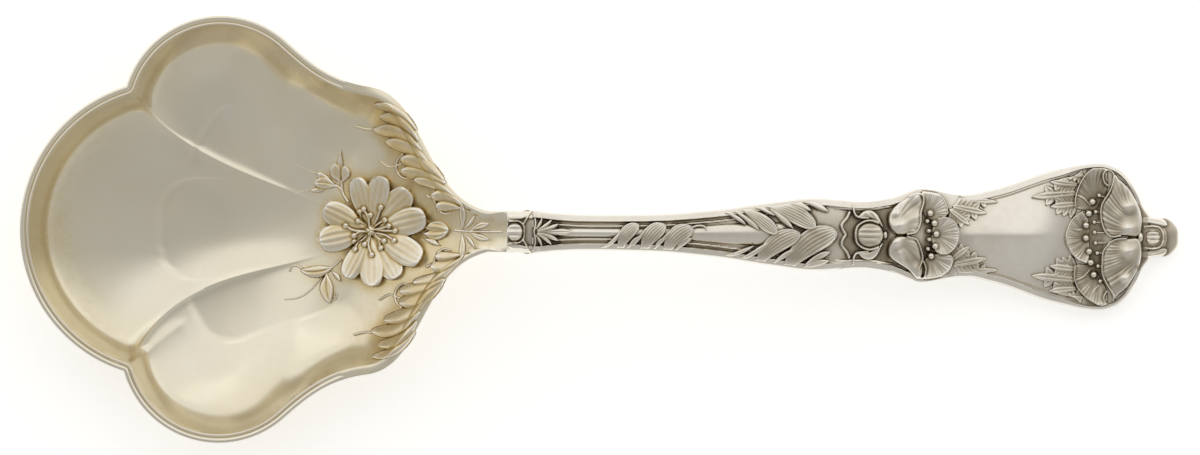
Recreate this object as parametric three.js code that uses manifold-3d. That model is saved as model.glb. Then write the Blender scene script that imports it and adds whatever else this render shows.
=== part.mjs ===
// Bonbon spoon with a gilt three-lobed bowl and a silver floral handle, lying on its back on a table.
// Millimetres, +Z up. +X runs from the bowl to the end of the handle. The origin is the middle of the
// flat under the bowl, so the table is the plane z = 0.

import * as THREE from 'three';
import { mergeVertices } from 'three/addons/utils/BufferGeometryUtils.js';
import Module from 'manifold-3d';

const wasm = await Module();
wasm.setup();

const { clamp, degToRad, lerp, smoothstep } = THREE.MathUtils;

// Bowl in plan
const TIP_LOBE_RADIUS = 15.4;
const TIP_LOBE_SETBACK = 4.9;
const SIDE_LOBE_RADIUS = 10.15;
const SIDE_LOBE_SPACING = 23.8;
const SIDE_LOBE_STATION = 0.3;
const WAIST_STATION = 15.6;
const WAIST_WIDTH = 29.7;
const SHOULDER_STATION = 21.2;
const SHOULDER_WIDTH = 18.6;
const NECK_STATION = 28;
const NECK_WIDTH = 4.2;
const NECK_LENGTH = 2;

// Bowl in section
const RIM_LEVEL = 7.9;
const NECK_LEVEL = 11;
const NECK_THICKNESS = 2.4;
const SHEET = 0.95;
const REST_CUT = 0.2;
const LIP = 0.9;
const WALL_RUN = 3.2;
const RIDGE_HEIGHT = 1.3;
const RIM_BEAD_WIDTH = 0.8;
const RIM_BEAD_HEIGHT = 0.45;

// Joint between the bowl and the handle
const TANG_LENGTH = 6.5;
const TANG_WIDTH = 1.6;
const TANG_THICKNESS = 1.1;
const COLLAR_LENGTH = 2.7;
const COLLAR_WIDTH = 4.56;
const COLLAR_THICKNESS = 3.1;
const SOLDER_GAP = 0.05;

// Handle
const HANDLE_LENGTH = 63.8;
const STEM_WIDTH = 3.62;
const SWELL_WIDTH = 7.44;
const BRACKET_WIDTH = 6.82;
const KNOP_WIDTH = 9.62;
const CARTOUCHE_WIDTH = 8.36;
const TERMINAL_WIDTH = 15.2;
const FINIAL_WIDTH = 3.9;
const FINIAL_LENGTH = 3.1;
const HANDLE_CREST = 11.3;
const STEM_THICKNESS = 2.5;
const TERMINAL_THICKNESS = 2;
const BORDER_WIDTH = 0.5;
const BORDER_HEIGHT = 0.35;
const PEG_DIAMETER = 0.9;
const PEG_LENGTH = 2;

// Relief
const FLOWER_STATION = 15.8;
const PETAL_LENGTH = 5.6;
const PETAL_HEIGHT = 0.6;
const LEAF_HEIGHT = 0.5;
const LEAF_WIDTH = 1.2;
const STALK_WIDTH = 0.4;
const PLUME_REACH = 5;
const STAMEN_BEAD = 0.5;
const CAPSULE_WIDTH = 2.8;
const SINK = 0.35;
const WELD = 0.002;

const TIP_STATION = -TIP_LOBE_SETBACK - TIP_LOBE_RADIUS;
const NECK_END = NECK_STATION + NECK_LENGTH;
const HANDLE_START = NECK_END + COLLAR_LENGTH;
const HANDLE_END = HANDLE_START + HANDLE_LENGTH;

const point = (x, y) => new THREE.Vector2(x, y);
const mirrored = (points) => points.map((p) => point(p.x, -p.y));

// A smooth curve through stations, which never overshoots them.
const profile = (stations) => {
  const slopes = [];
  for (let i = 1; i < stations.length; i += 1) {
    slopes.push((stations[i][1] - stations[i - 1][1]) / (stations[i][0] - stations[i - 1][0]));
  }
  const tangents = stations.map((_, i) => {
    const before = slopes[i - 1] ?? slopes[i];
    const after = slopes[i] ?? slopes[i - 1];
    return before * after <= 0 ? 0 : (2 * before * after) / (before + after);
  });
  return (x) => {
    const last = stations.length - 1;
    if (x <= stations[0][0]) return stations[0][1];
    if (x >= stations[last][0]) return stations[last][1];
    const i = stations.findIndex(([station]) => station > x) - 1;
    const span = stations[i + 1][0] - stations[i][0];
    const t = (x - stations[i][0]) / span;
    const rise = stations[i + 1][1] - stations[i][1];
    const ease = t * t * (3 - 2 * t);
    const lead = span * (t * (1 - t) * (1 - t) * tangents[i] - t * t * (1 - t) * tangents[i + 1]);
    return stations[i][1] + rise * ease + lead;
  };
};

// Solids from closed geometry, and back.
const solidOf = (geometry) => {
  const bare = geometry.index ? geometry.toNonIndexed() : geometry.clone();
  for (const name of Object.keys(bare.attributes)) {
    if (name !== 'position') bare.deleteAttribute(name);
  }
  const merged = mergeVertices(bare, 1e-4);
  const corners = merged.index.array;
  const triangles = [];
  for (let i = 0; i < corners.length; i += 3) {
    const [a, b, c] = [corners[i], corners[i + 1], corners[i + 2]];
    if (a !== b && b !== c && c !== a) triangles.push(a, b, c);
  }
  return new wasm.Manifold(new wasm.Mesh({
    numProp: 3,
    vertProperties: new Float32Array(merged.attributes.position.array),
    triVerts: new Uint32Array(triangles),
    tolerance: WELD,
  }));
};

const geometryOf = (solid) => {
  const { numProp, vertProperties, triVerts } = solid.getMesh();
  const positions = new Float32Array((vertProperties.length / numProp) * 3);
  for (let i = 0; i < positions.length / 3; i += 1) {
    positions.set(vertProperties.subarray(i * numProp, i * numProp + 3), i * 3);
  }
  const geometry = new THREE.BufferGeometry();
  geometry.setAttribute('position', new THREE.BufferAttribute(positions, 3));
  geometry.setIndex(new THREE.BufferAttribute(new Uint32Array(triVerts), 1));
  return geometry;
};

// A closed slab between two grids of the same plan; a loop joins the last row to the first.
const slabGeometry = (top, bottom, loop = false) => {
  const rows = top.length;
  const columns = top[0].length;
  const positions = [];
  const face = (...corners) => {
    for (const corner of corners) positions.push(corner.x, corner.y, corner.z);
  };
  const quad = (a, b, c, d) => {
    face(a, b, c);
    face(a, c, d);
  };
  for (let i = 0; i < (loop ? rows : rows - 1); i += 1) {
    const next = (i + 1) % rows;
    for (let j = 0; j < columns - 1; j += 1) {
      quad(top[i][j], top[next][j], top[next][j + 1], top[i][j + 1]);
      quad(bottom[i][j], bottom[i][j + 1], bottom[next][j + 1], bottom[next][j]);
    }
    quad(bottom[i][0], bottom[next][0], top[next][0], top[i][0]);
    const edge = columns - 1;
    quad(top[i][edge], top[next][edge], bottom[next][edge], bottom[i][edge]);
  }
  for (let j = 0; !loop && j < columns - 1; j += 1) {
    const end = rows - 1;
    quad(top[0][j], top[0][j + 1], bottom[0][j + 1], bottom[0][j]);
    quad(top[end][j], bottom[end][j], bottom[end][j + 1], top[end][j + 1]);
  }
  const geometry = new THREE.BufferGeometry();
  geometry.setAttribute('position', new THREE.Float32BufferAttribute(positions, 3));
  return geometry;
};

const planArea = (grid) => {
  let area = 0;
  for (let i = 1; i < grid.length; i += 1) {
    for (let j = 1; j < grid[i].length; j += 1) {
      const diagonal = grid[i][j].clone().sub(grid[i - 1][j - 1]);
      const other = grid[i - 1][j].clone().sub(grid[i][j - 1]);
      area += diagonal.cross(other) / 2;
    }
  }
  return area;
};

// Relief over a ground: a plan grid raised by its own crown and rooted below the ground.
const relief = (grid, ground, crown) => {
  const faced = planArea(grid) < 0 ? grid.map((row) => [...row].reverse()) : grid;
  const level = (lift) => faced.map((row, i) => row.map((p, j) => {
    const s = i / (faced.length - 1);
    const t = (2 * j) / (row.length - 1) - 1;
    return new THREE.Vector3(p.x, p.y, ground(p.x, p.y) + lift(s, t));
  }));
  return solidOf(slabGeometry(level(crown), level(() => -SINK)));
};

// A leaf or petal lobe, a teardrop in plan from its root to its tip.
const lobe = (root, tip, width, height, ground, shape = {}) => {
  const { bend = 0, skew = 1.3, blunt = 0.8, rows = 4, columns = 2 } = shape;
  const run = tip.clone().sub(root);
  const side = point(-run.y, run.x).normalize();
  const grid = [];
  for (let i = 0; i <= rows; i += 1) {
    const s = i / rows;
    const centre = root.clone().addScaledVector(run, s).addScaledVector(side, bend * 4 * s * (1 - s));
    const half = Math.max((width / 2) * Math.sin(Math.PI * s ** skew) ** blunt, width * 0.14);
    grid.push(Array.from({ length: columns + 1 }, (_, j) => (
      centre.clone().addScaledVector(side, half * ((2 * j) / columns - 1))
    )));
  }
  return relief(grid, ground, (s, t) => height * (1 - 0.5 * t * t) * (0.65 + 0.35 * s));
};

// A petal seen from the side, ruled from its root curve to its lip.
const fan = (roots, lips, height, ground, rows = 3) => {
  const grid = [];
  for (let i = 0; i <= rows; i += 1) {
    grid.push(roots.map((root, j) => root.clone().lerp(lips[j], i / rows)));
  }
  const swell = (s) => 0.55 + 0.45 * Math.sin(Math.PI * (0.2 + 0.5 * s));
  return relief(grid, ground, (s, t) => height * swell(s) * (1 - 0.25 * t * t));
};

// Outward normals of an open path in plan, mitred at its corners; they point left of its run.
const sides = (path) => path.map((p, i) => {
  const before = p.clone().sub(path[Math.max(i - 1, 0)]);
  const after = path[Math.min(i + 1, path.length - 1)].clone().sub(p);
  const a = (before.lengthSq() ? before : after).clone().normalize();
  const b = (after.lengthSq() ? after : before).clone().normalize();
  const mean = a.clone().add(b).normalize();
  return point(-mean.y, mean.x).divideScalar(Math.max(mean.dot(a), 0.6));
});

// A half-round moulding along a path in plan.
const moulding = (path, width, height, ground) => {
  const left = sides(path);
  const shares = [-1, 0, 1];
  const grid = path.map((p, i) => shares.map((t) => p.clone().addScaledVector(left[i], (width / 2) * t)));
  return relief(grid, ground, (s, t) => height * (1 - 0.6 * t * t));
};

const curve = (points, count) => new THREE.SplineCurve(points).getPoints(count);

const bead = (p, diameter, ground, stretch = 1, sectors = 6) => {
  const geometry = new THREE.SphereGeometry(diameter / 2, sectors, Math.ceil(sectors * 0.6));
  geometry.rotateX(Math.PI / 2);
  geometry.scale(1, stretch, 1);
  geometry.translate(p.x, p.y, ground(p.x, p.y) + diameter * 0.2);
  return solidOf(geometry);
};

const box = (from, to) => {
  const size = to.clone().sub(from);
  const middle = from.clone().add(to).multiplyScalar(0.5);
  return solidOf(new THREE.BoxGeometry(...size.toArray()).translate(...middle.toArray()));
};

const join = (...solids) => solids.reduce((whole, solid) => whole.add(solid));

// The largest body of a solid, free of offcuts.
const trimmed = (solid) => solid.decompose().reduce((best, body) => (
  body.volume() > best.volume() ? body : best
));

// Bowl outline, upper half from the tip to the end of the neck
const tipCentre = point(-TIP_LOBE_SETBACK, 0);
const sideCentre = point(SIDE_LOBE_STATION, SIDE_LOBE_SPACING / 2);
const between = sideCentre.clone().sub(tipCentre);
const spread = between.length();
const chord = (TIP_LOBE_RADIUS ** 2 - SIDE_LOBE_RADIUS ** 2 + spread ** 2) / (2 * spread);
const reach = Math.sqrt(TIP_LOBE_RADIUS ** 2 - chord ** 2);
const across = point(-between.y, between.x).normalize();
const notch = tipCentre.clone().addScaledVector(between, chord / spread).addScaledVector(across, reach);

const arc = (centre, radius, from, to, count) => (
  new THREE.EllipseCurve(centre.x, centre.y, radius, radius, from, to, true).getPoints(count)
);
const heading = (angle, length) => point(length * Math.cos(angle), length * Math.sin(angle));
const sweep = (from, fromAngle, to, toAngle, count) => {
  const pull = from.distanceTo(to) * 0.38;
  return new THREE.CubicBezierCurve(
    from,
    from.clone().add(heading(fromAngle, pull)),
    to.clone().sub(heading(toAngle, pull)),
    to,
  ).getPoints(count);
};
const LOBE_END = degToRad(48);
const waist = point(WAIST_STATION, WAIST_WIDTH / 2);
const shoulder = point(SHOULDER_STATION, SHOULDER_WIDTH / 2);
const neck = point(NECK_STATION, NECK_WIDTH / 2);
const lobeEnd = sideCentre.clone().add(heading(LOBE_END, SIDE_LOBE_RADIUS));
const notchOn = (centre) => Math.atan2(notch.y - centre.y, notch.x - centre.x);
const rimPath = [
  ...arc(tipCentre, TIP_LOBE_RADIUS, Math.PI, notchOn(tipCentre), 7),
  ...arc(sideCentre, SIDE_LOBE_RADIUS, notchOn(sideCentre), LOBE_END, 10).slice(1),
  ...sweep(lobeEnd, LOBE_END - Math.PI / 2, waist, degToRad(-8), 4).slice(1),
];
const shoulderPath = [
  ...sweep(waist, degToRad(-8), shoulder, degToRad(-62), 4),
  ...sweep(shoulder, degToRad(-62), neck, degToRad(-14), 4).slice(1),
];
const neckCorner = point(NECK_END, NECK_WIDTH / 2);
const upperOutline = [...rimPath, ...shoulderPath.slice(1), neckCorner];

// Bowl surface
const flowerCentre = point(FLOWER_STATION, 0);
const BED = SHEET - REST_CUT;
const rise = (share) => lerp(BED, NECK_LEVEL, share);
const floorLine = profile([
  [TIP_STATION, BED + 1.2],
  [TIP_STATION * 0.55, BED + 0.2],
  [TIP_STATION * 0.2, BED],
  [WAIST_STATION * 0.2, BED + 0.12],
  [WAIST_STATION * 0.64, rise(0.17)],
  [WAIST_STATION, rise(0.39)],
  [SHOULDER_STATION, rise(0.67)],
  [lerp(SHOULDER_STATION, NECK_END, 0.55), rise(0.91)],
  [NECK_END, NECK_LEVEL],
]);
const rimLine = profile([
  [TIP_STATION, RIM_LEVEL + 0.5],
  [0, RIM_LEVEL],
  [WAIST_STATION, lerp(RIM_LEVEL, NECK_LEVEL, 0.29)],
  [SHOULDER_STATION, lerp(RIM_LEVEL, NECK_LEVEL, 0.54)],
  [NECK_END, NECK_LEVEL + 0.2],
]);
const notchAngle = Math.atan2(notch.y, FLOWER_STATION - notch.x);
const notchReach = notch.distanceTo(flowerCentre);
const ridge = (x, y) => {
  const r = Math.hypot(x - FLOWER_STATION, y);
  const angle = Math.atan2(Math.abs(y), FLOWER_STATION - x);
  const crest = notchAngle * (0.8 + 0.2 * ((r - notchReach * 0.55) / (notchReach * 0.45)) ** 2);
  const valley = crest * 2.3;
  const share = angle < crest ? angle / crest : clamp((valley - angle) / (valley - crest), 0, 1);
  return RIDGE_HEIGHT * smoothstep(r, notchReach * 0.14, notchReach * 0.7) * share * share;
};
const edgeDistance = (x, y) => {
  const p = point(x, Math.abs(y));
  let nearest = Infinity;
  for (let i = 1; i < upperOutline.length; i += 1) {
    const a = upperOutline[i - 1];
    const span = upperOutline[i].clone().sub(a);
    const t = clamp(p.clone().sub(a).dot(span) / span.lengthSq(), 0, 1);
    nearest = Math.min(nearest, a.clone().addScaledVector(span, t).distanceTo(p));
  }
  return nearest;
};
const FILLET = 0.25;
const wall = (distance, run) => {
  const u = 1 - distance / run;
  return (u + Math.hypot(u, FILLET)) / (1 + Math.hypot(1, FILLET));
};
const surface = (x, y, distance) => {
  const floor = floorLine(x) + ridge(x, y);
  const run = WALL_RUN * lerp(1, 2.2, smoothstep(x, WAIST_STATION * 0.64, SHOULDER_STATION));
  return floor + (rimLine(x) - floor) * wall(distance, run);
};
const thickness = (x) => lerp(SHEET, NECK_THICKNESS, smoothstep(x, WAIST_STATION + 2, NECK_STATION));
const bowlTop = (x, y) => surface(x, y, Math.max(edgeDistance(x, y) - LIP, 0));
const bowlUnder = (x, y) => Math.max(surface(x, y, edgeDistance(x, y)) - thickness(x), 0);

const lowerOutline = mirrored(upperOutline).reverse().slice(0, -1);
const neckEdge = [0.5, 0, -0.5].map((share) => point(NECK_END, (share * NECK_WIDTH) / 2));
const outline = [...upperOutline, ...neckEdge, ...lowerOutline];
const depths = [0, LIP, LIP + 0.9, LIP + 2.1, LIP + 3.4];
const rings = [0.84, 0.66, 0.48, 0.26, 0];
const bowlPlan = outline.map((p, i) => {
  const before = outline[(i + outline.length - 1) % outline.length];
  const after = outline[(i + 1) % outline.length];
  const along = after.clone().sub(before).normalize();
  const ray = p.clone().sub(flowerCentre);
  const depth = Math.max(ray.dot(point(-along.y, along.x)), ray.length() * 0.35);
  const steps = depths.map((d) => Math.max(1 - d / depth, 0.3));
  const inner = rings.map((share) => share * steps.at(-1));
  return [...steps, ...inner].reverse().map((f) => flowerCentre.clone().addScaledVector(ray, f));
});
const raise = (height) => bowlPlan.map((row) => row.map((p) => (
  new THREE.Vector3(p.x, p.y, height(p.x, p.y))
)));
const bowlShell = slabGeometry(raise(bowlTop), raise(bowlUnder), true);
const tangLevel = NECK_LEVEL - NECK_THICKNESS / 2;
const tangBox = (from, to, slack) => box(
  new THREE.Vector3(from, -TANG_WIDTH / 2 - slack, tangLevel - TANG_THICKNESS / 2 - slack),
  new THREE.Vector3(to, TANG_WIDTH / 2 + slack, tangLevel + TANG_THICKNESS / 2 + slack),
);
const bowl = solidOf(bowlShell).add(tangBox(NECK_STATION, NECK_END + TANG_LENGTH, 0));
const bowlSeat = solidOf(bowlShell.clone().translate(0, 0, SOLDER_GAP));

// Ornament soldered on the bowl
const onBowl = (...solids) => trimmed(join(...solids).subtract(bowlSeat));
const inward = (path, inset) => {
  const left = sides(path);
  return path.map((p, i) => p.clone().addScaledVector(left[i], -inset));
};
const rimLoop = [...mirrored(rimPath).reverse().slice(0, -1), ...rimPath];
const rim = onBowl(moulding(inward(rimLoop, LIP / 2), RIM_BEAD_WIDTH, RIM_BEAD_HEIGHT, rimLine));

// Petals of the rose, by angle, length and width in petal lengths, and share of the petal height
const rosePetals = [
  [157.5, 0.92, 0.48, 0.95], [196, 0.92, 0.48, 0.95], [100.8, 1.02, 0.41, 0.9], [81.9, 1, 0.41, 0.95],
  [49.8, 0.95, 0.46, 0.7], [16.8, 1.02, 0.55, 1.1], [-20.4, 1, 0.55, 1.1], [-56.6, 1.03, 0.41, 0.7],
  [-88, 1, 0.45, 0.9], [-112.4, 0.96, 0.45, 0.95],
];
const petalShape = { skew: 2.1, blunt: 0.6, rows: 4, columns: 2 };
const around = (angle, radius) => flowerCentre.clone().add(heading(degToRad(angle), radius));
const roseDisc = relief(
  Array.from({ length: 3 }, (_, i) => Array.from({ length: 3 }, (_unused, j) => (
    flowerCentre.clone().add(point(i - 1, j - 1).multiplyScalar(PETAL_LENGTH * 0.27))
  ))),
  bowlTop,
  () => PETAL_HEIGHT * 0.75,
);
const rose = onBowl(roseDisc, ...rosePetals.map(([angle, length, width, lift]) => lobe(
  flowerCentre,
  around(angle, length * PETAL_LENGTH),
  width * PETAL_LENGTH,
  lift * PETAL_HEIGHT,
  bowlTop,
  petalShape,
)));
const roseTop = (x, y) => bowlTop(x, y) + PETAL_HEIGHT * 0.75;
const stamenCount = 9;
const stamenHeads = Array.from({ length: stamenCount }, (_, i) => (
  around((360 / stamenCount) * i + 8, PETAL_LENGTH * (i % 2 ? 0.27 : 0.38))
));
const stamens = trimmed(join(
  bead(flowerCentre, STAMEN_BEAD * 2, roseTop),
  ...stamenHeads.map((head) => moulding([flowerCentre, head], STAMEN_BEAD * 0.4, 0.3, roseTop)),
  ...stamenHeads.map((head) => bead(head, STAMEN_BEAD, roseTop)),
).subtract(bowlSeat).subtract(solidOf(geometryOf(rose).translate(0, 0, SOLDER_GAP))));

// Sprigs beside the rose, in petal lengths from its centre
const fromFlower = ([x, y]) => flowerCentre.clone().addScaledVector(point(x, y), PETAL_LENGTH);
const twig = (points, count = 6) => (
  moulding(curve(points.map(fromFlower), count), STALK_WIDTH, LEAF_HEIGHT * 0.6, bowlTop)
);
const bloom = (root, tip, width, bend = 0) => lobe(
  fromFlower(root),
  fromFlower(tip),
  width * PETAL_LENGTH,
  LEAF_HEIGHT,
  bowlTop,
  { bend: bend * PETAL_LENGTH },
);
const upperSprig = onBowl(
  twig([[-0.55, 0.64], [-0.57, 0.79], [-0.64, 0.87], [-0.89, 0.95]]),
  twig([[-0.57, 0.77], [-0.55, 0.93]], 2),
  bloom([-0.55, 0.8], [-0.57, 1.46], 0.27),
  bloom([-0.59, 0.8], [-1.11, 0.89], 0.24, -0.035),
  bloom([-0.61, 0.86], [-1, 1.07], 0.14),
);
const lowerSprig = onBowl(
  twig([[-0.64, -0.64], [-0.79, -0.71], [-0.93, -0.89], [-1.16, -1.18], [-1.61, -1.3]], 8),
  bloom([-0.7, -0.68], [-1.54, -0.77], 0.19, 0.05),
  bloom([-0.88, -0.84], [-0.77, -1.36], 0.2, -0.035),
);
const bud = onBowl(
  twig([[1.03, -0.035], [1.09, -0.025], [1.21, 0]], 3),
  bloom([1.035, -0.02], [1.48, 0.01], 0.34),
  bloom([1.02, -0.09], [1.25, -0.25], 0.14, 0.02),
);

// Plumes of parallel leaves along the shoulders: share of the shoulder and length in plume reaches
const shoulderEdge = curve(shoulderPath, 40);
const plumeLine = inward(shoulderEdge, LIP * 0.8);
const plumeLeaves = [[0.18, 0.6], [0.3, 0.85], [0.41, 1], [0.52, 1], [0.63, 0.9], [0.75, 0.8], [0.87, 0.5]];
const plumeCurls = [[0.41, 1.5], [0.63, 1.25]];
const plumeHeading = point(-0.99, 0.14);
const plumeRoot = (share) => plumeLine[Math.round(share * (plumeLine.length - 1))];
const plumeGap = (i) => {
  const pair = [plumeLeaves[Math.max(i - 1, 0)], plumeLeaves[Math.min(i + 1, plumeLeaves.length - 1)]];
  const [before, after] = pair.map(([share]) => plumeRoot(share));
  return Math.abs(after.clone().sub(before).cross(plumeHeading)) / 2;
};
const plume = (mirror) => {
  const flip = (p) => point(p.x, p.y * mirror);
  const leafRun = plumeHeading.clone().multiplyScalar(PLUME_REACH);
  const tip = (share, length) => plumeRoot(share).clone().addScaledVector(leafRun, length);
  const spine = plumeLine.slice(6, 36).filter((_, i) => i % 4 === 0).map(flip);
  const leaves = plumeLeaves.map(([share, length], i) => lobe(
    flip(plumeRoot(share)),
    flip(tip(share, length)),
    plumeGap(i) * 0.75,
    LEAF_HEIGHT,
    bowlTop,
    { skew: 0.8 },
  ));
  const curls = plumeCurls.map(([share, length]) => moulding(
    [0.5, 0.7, 0.9, 1].map((s) => flip(tip(share, length * s))),
    STALK_WIDTH,
    LEAF_HEIGHT * 0.6,
    bowlTop,
  ));
  return onBowl(moulding(spine, LIP, LEAF_HEIGHT * 0.7, bowlTop), ...leaves, ...curls);
};

// Sprig on the neck, in neck widths from the end of the neck
const neckPlace = ([x, y]) => point(NECK_END - x * NECK_WIDTH, y * NECK_WIDTH);
const neckLeaf = (root, tip, width) => (
  lobe(neckPlace(root), neckPlace(tip), width * NECK_WIDTH, LEAF_HEIGHT * 0.8, bowlTop)
);
const neckStem = [[1.24, 0], [0.81, 0], [0.21, 0]].map(neckPlace);
const neckSprig = onBowl(
  moulding(neckStem, STALK_WIDTH, LEAF_HEIGHT * 0.6, bowlTop),
  neckLeaf([1.1, 0], [0.88, 0.6], 0.2),
  neckLeaf([1.1, 0], [0.98, -0.6], 0.2),
  neckLeaf([0.88, 0], [0.43, 0.18], 0.15),
  neckLeaf([0.88, 0], [0.45, -0.21], 0.15),
);

// Handle
const along = (share) => HANDLE_START + share * HANDLE_LENGTH;
const halfWidth = profile([
  [0, COLLAR_WIDTH * 0.485],
  [0.047, STEM_WIDTH * 0.528],
  [0.096, STEM_WIDTH / 2],
  [0.193, lerp(STEM_WIDTH, SWELL_WIDTH, 0.052) / 2],
  [0.29, lerp(STEM_WIDTH, SWELL_WIDTH, 0.3) / 2],
  [0.387, lerp(STEM_WIDTH, SWELL_WIDTH, 0.76) / 2],
  [0.455, SWELL_WIDTH / 2],
  [0.533, BRACKET_WIDTH / 2],
  [0.577, lerp(BRACKET_WIDTH, KNOP_WIDTH, 0.25) / 2],
  [0.63, KNOP_WIDTH / 2],
  [0.695, CARTOUCHE_WIDTH / 2],
  [0.752, lerp(CARTOUCHE_WIDTH, TERMINAL_WIDTH, 0.2) / 2],
  [0.85, lerp(CARTOUCHE_WIDTH, TERMINAL_WIDTH, 0.79) / 2],
  [0.922, TERMINAL_WIDTH / 2],
  [0.947, TERMINAL_WIDTH * 0.475],
  [0.972, TERMINAL_WIDTH * 0.4],
  [0.982, lerp(TERMINAL_WIDTH, FINIAL_WIDTH, 0.55) / 2],
  [0.992, FINIAL_WIDTH * 0.7],
  [1, FINIAL_WIDTH * 0.54],
]);
const crestLine = profile([
  [0, NECK_LEVEL + 0.1],
  [0.114, HANDLE_CREST],
  [0.271, lerp(HANDLE_CREST, TERMINAL_THICKNESS, 0.085)],
  [0.428, lerp(HANDLE_CREST, TERMINAL_THICKNESS, 0.28)],
  [0.585, lerp(HANDLE_CREST, TERMINAL_THICKNESS, 0.55)],
  [0.741, lerp(HANDLE_CREST, TERMINAL_THICKNESS, 0.83)],
  [0.87, TERMINAL_THICKNESS],
  [0.93, TERMINAL_THICKNESS - REST_CUT],
  [1, TERMINAL_THICKNESS + 0.1],
]);
const handleDepth = (share) => lerp(STEM_THICKNESS, TERMINAL_THICKNESS, smoothstep(share, 0.1, 0.85));
const shareOf = (x) => clamp((x - HANDLE_START) / HANDLE_LENGTH, 0, 1);
const flute = (share, v) => {
  const run = smoothstep(share, 0.05, 0.07) * (1 - smoothstep(share, 0.3, 0.36));
  return 0.25 * run * Math.max(1 - (v / 0.42) ** 2, 0);
};
const handleTop = (x, y) => {
  const share = shareOf(x);
  const v = clamp(Math.abs(y) / halfWidth(share), 0, 1);
  return crestLine(share) - 0.3 * handleDepth(share) * v ** 3 + flute(share, v);
};
const handleUnder = (x, y) => {
  const share = shareOf(x);
  const v = clamp(Math.abs(y) / halfWidth(share), 0, 1);
  return Math.max(crestLine(share) - handleDepth(share) * (1 - 0.25 * v ** 3), 0);
};
const handleShares = [
  ...Array.from({ length: 24 }, (_, i) => (i / 23) * 0.93),
  0.947, 0.96, 0.971, 0.979, 0.986, 0.993, 1,
];
const handleColumns = [-1, -0.85, -0.62, -0.42, -0.22, 0, 0.22, 0.42, 0.62, 0.85, 1];
const handleGrid = (height) => handleShares.map((share) => handleColumns.map((v) => {
  const [x, y] = [along(share), v * halfWidth(share)];
  return new THREE.Vector3(x, y, height(x, y));
}));
const handleShell = slabGeometry(handleGrid(handleTop), handleGrid(handleUnder));
const pegLevel = (handleTop(HANDLE_END, 0) + handleUnder(HANDLE_END, 0)) / 2;
const peg = (diameter, from, to) => solidOf(
  new THREE.CylinderGeometry(diameter / 2, diameter / 2, to - from, 10)
    .rotateZ(Math.PI / 2)
    .translate((from + to) / 2, 0, pegLevel),
);
const handle = solidOf(handleShell)
  .subtract(tangBox(HANDLE_START - 1, NECK_END + TANG_LENGTH + SOLDER_GAP, SOLDER_GAP))
  .subtract(peg(PEG_DIAMETER + 2 * SOLDER_GAP, HANDLE_END - PEG_LENGTH - SOLDER_GAP, HANDLE_END + 1));
const handleSeat = solidOf(handleShell.clone().translate(0, 0, SOLDER_GAP));

// Places on the handle are a share of its length and a share of its half width.
const place = ([share, v]) => point(along(share), v * halfWidth(share));
const borderLine = (mirror, inset) => Array.from({ length: 17 }, (_, i) => {
  const share = lerp(0.69, 0.984, Math.sin(((i / 16) * Math.PI) / 2));
  return point(along(share), mirror * (halfWidth(share) - inset));
});
const border = (mirror) => trimmed(
  moulding(borderLine(mirror, BORDER_WIDTH * 0.64), BORDER_WIDTH, BORDER_HEIGHT, handleTop)
    .subtract(handleSeat),
);
const borderRoom = [1, -1].map((mirror) => (
  moulding(borderLine(mirror, BORDER_WIDTH * 0.5), BORDER_WIDTH + 6 * SOLDER_GAP, 4, handleTop)
));
const onHandle = (...solids) => {
  const seated = join(...solids).subtract(handleSeat);
  return trimmed(seated.subtract(borderRoom[0]).subtract(borderRoom[1]));
};
const leaf = (root, tip, width, shape) => (
  lobe(place(root), place(tip), width * LEAF_WIDTH, LEAF_HEIGHT, handleTop, shape)
);
const stalk = (places, width = 1, count = 8, lift = 0.7) => (
  moulding(curve(places.map(place), count), width * STALK_WIDTH, LEAF_HEIGHT * lift, handleTop)
);
const flipped = (places) => places.map(([share, v]) => [share, -v]);

const palmette = onHandle(
  leaf([0.006, 0], [0.06, 0], 0.85),
  ...[1, -1].flatMap((mirror) => [
    leaf([0.007, 0], [0.036, 0.45 * mirror], 0.58),
    leaf([0.007, 0], [0.021, 0.68 * mirror], 0.5),
    leaf([0.007, 0], [0.01, 0.72 * mirror], 0.38),
  ]),
);

// A compound leaf: lobes from a stalk, with a low blade between them.
const compound = (stem, lobes) => {
  const roots = lobes.map(([root]) => place(root));
  const lips = lobes.map(([, tip], i) => roots[i].clone().lerp(place(tip), 0.7));
  return onHandle(
    stalk(stem, 2),
    fan(roots, lips, LEAF_HEIGHT * 0.55, handleTop, 2),
    ...lobes.map(([root, tip, width, bend = 0]) => leaf(root, tip, width, { bend: bend * LEAF_WIDTH })),
  );
};
const stemLeaf = compound([[0.119, -0.8], [0.169, -0.8], [0.228, -0.77]], [
  [[0.121, -0.86], [0.142, 0.15], 0.54, -0.1],
  [[0.134, -0.88], [0.173, 0.43], 1.25, 0.2],
  [[0.157, -0.84], [0.185, 0.27], 0.54, -0.1],
  [[0.17, -0.88], [0.216, 0.47], 1.35, 0.2],
  [[0.201, -0.8], [0.225, 0.31], 0.54, -0.1],
  [[0.209, -0.86], [0.265, 0.4], 1.35, 0.2],
  [[0.222, -0.8], [0.282, 0.28], 0.4],
]);
const upperSpray = compound([[0.332, 0.84], [0.365, 0.83], [0.404, 0.86], [0.45, 0.84]], [
  [[0.335, 0.82], [0.362, 0.46], 0.54],
  [[0.342, 0.84], [0.394, 0.02], 1.35, 0.17],
  [[0.374, 0.75], [0.42, 0.15], 0.67],
  [[0.371, 0.85], [0.457, 0.19], 1.6, 0.17],
  [[0.4, 0.86], [0.488, 0.66], 0.8],
]);
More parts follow.
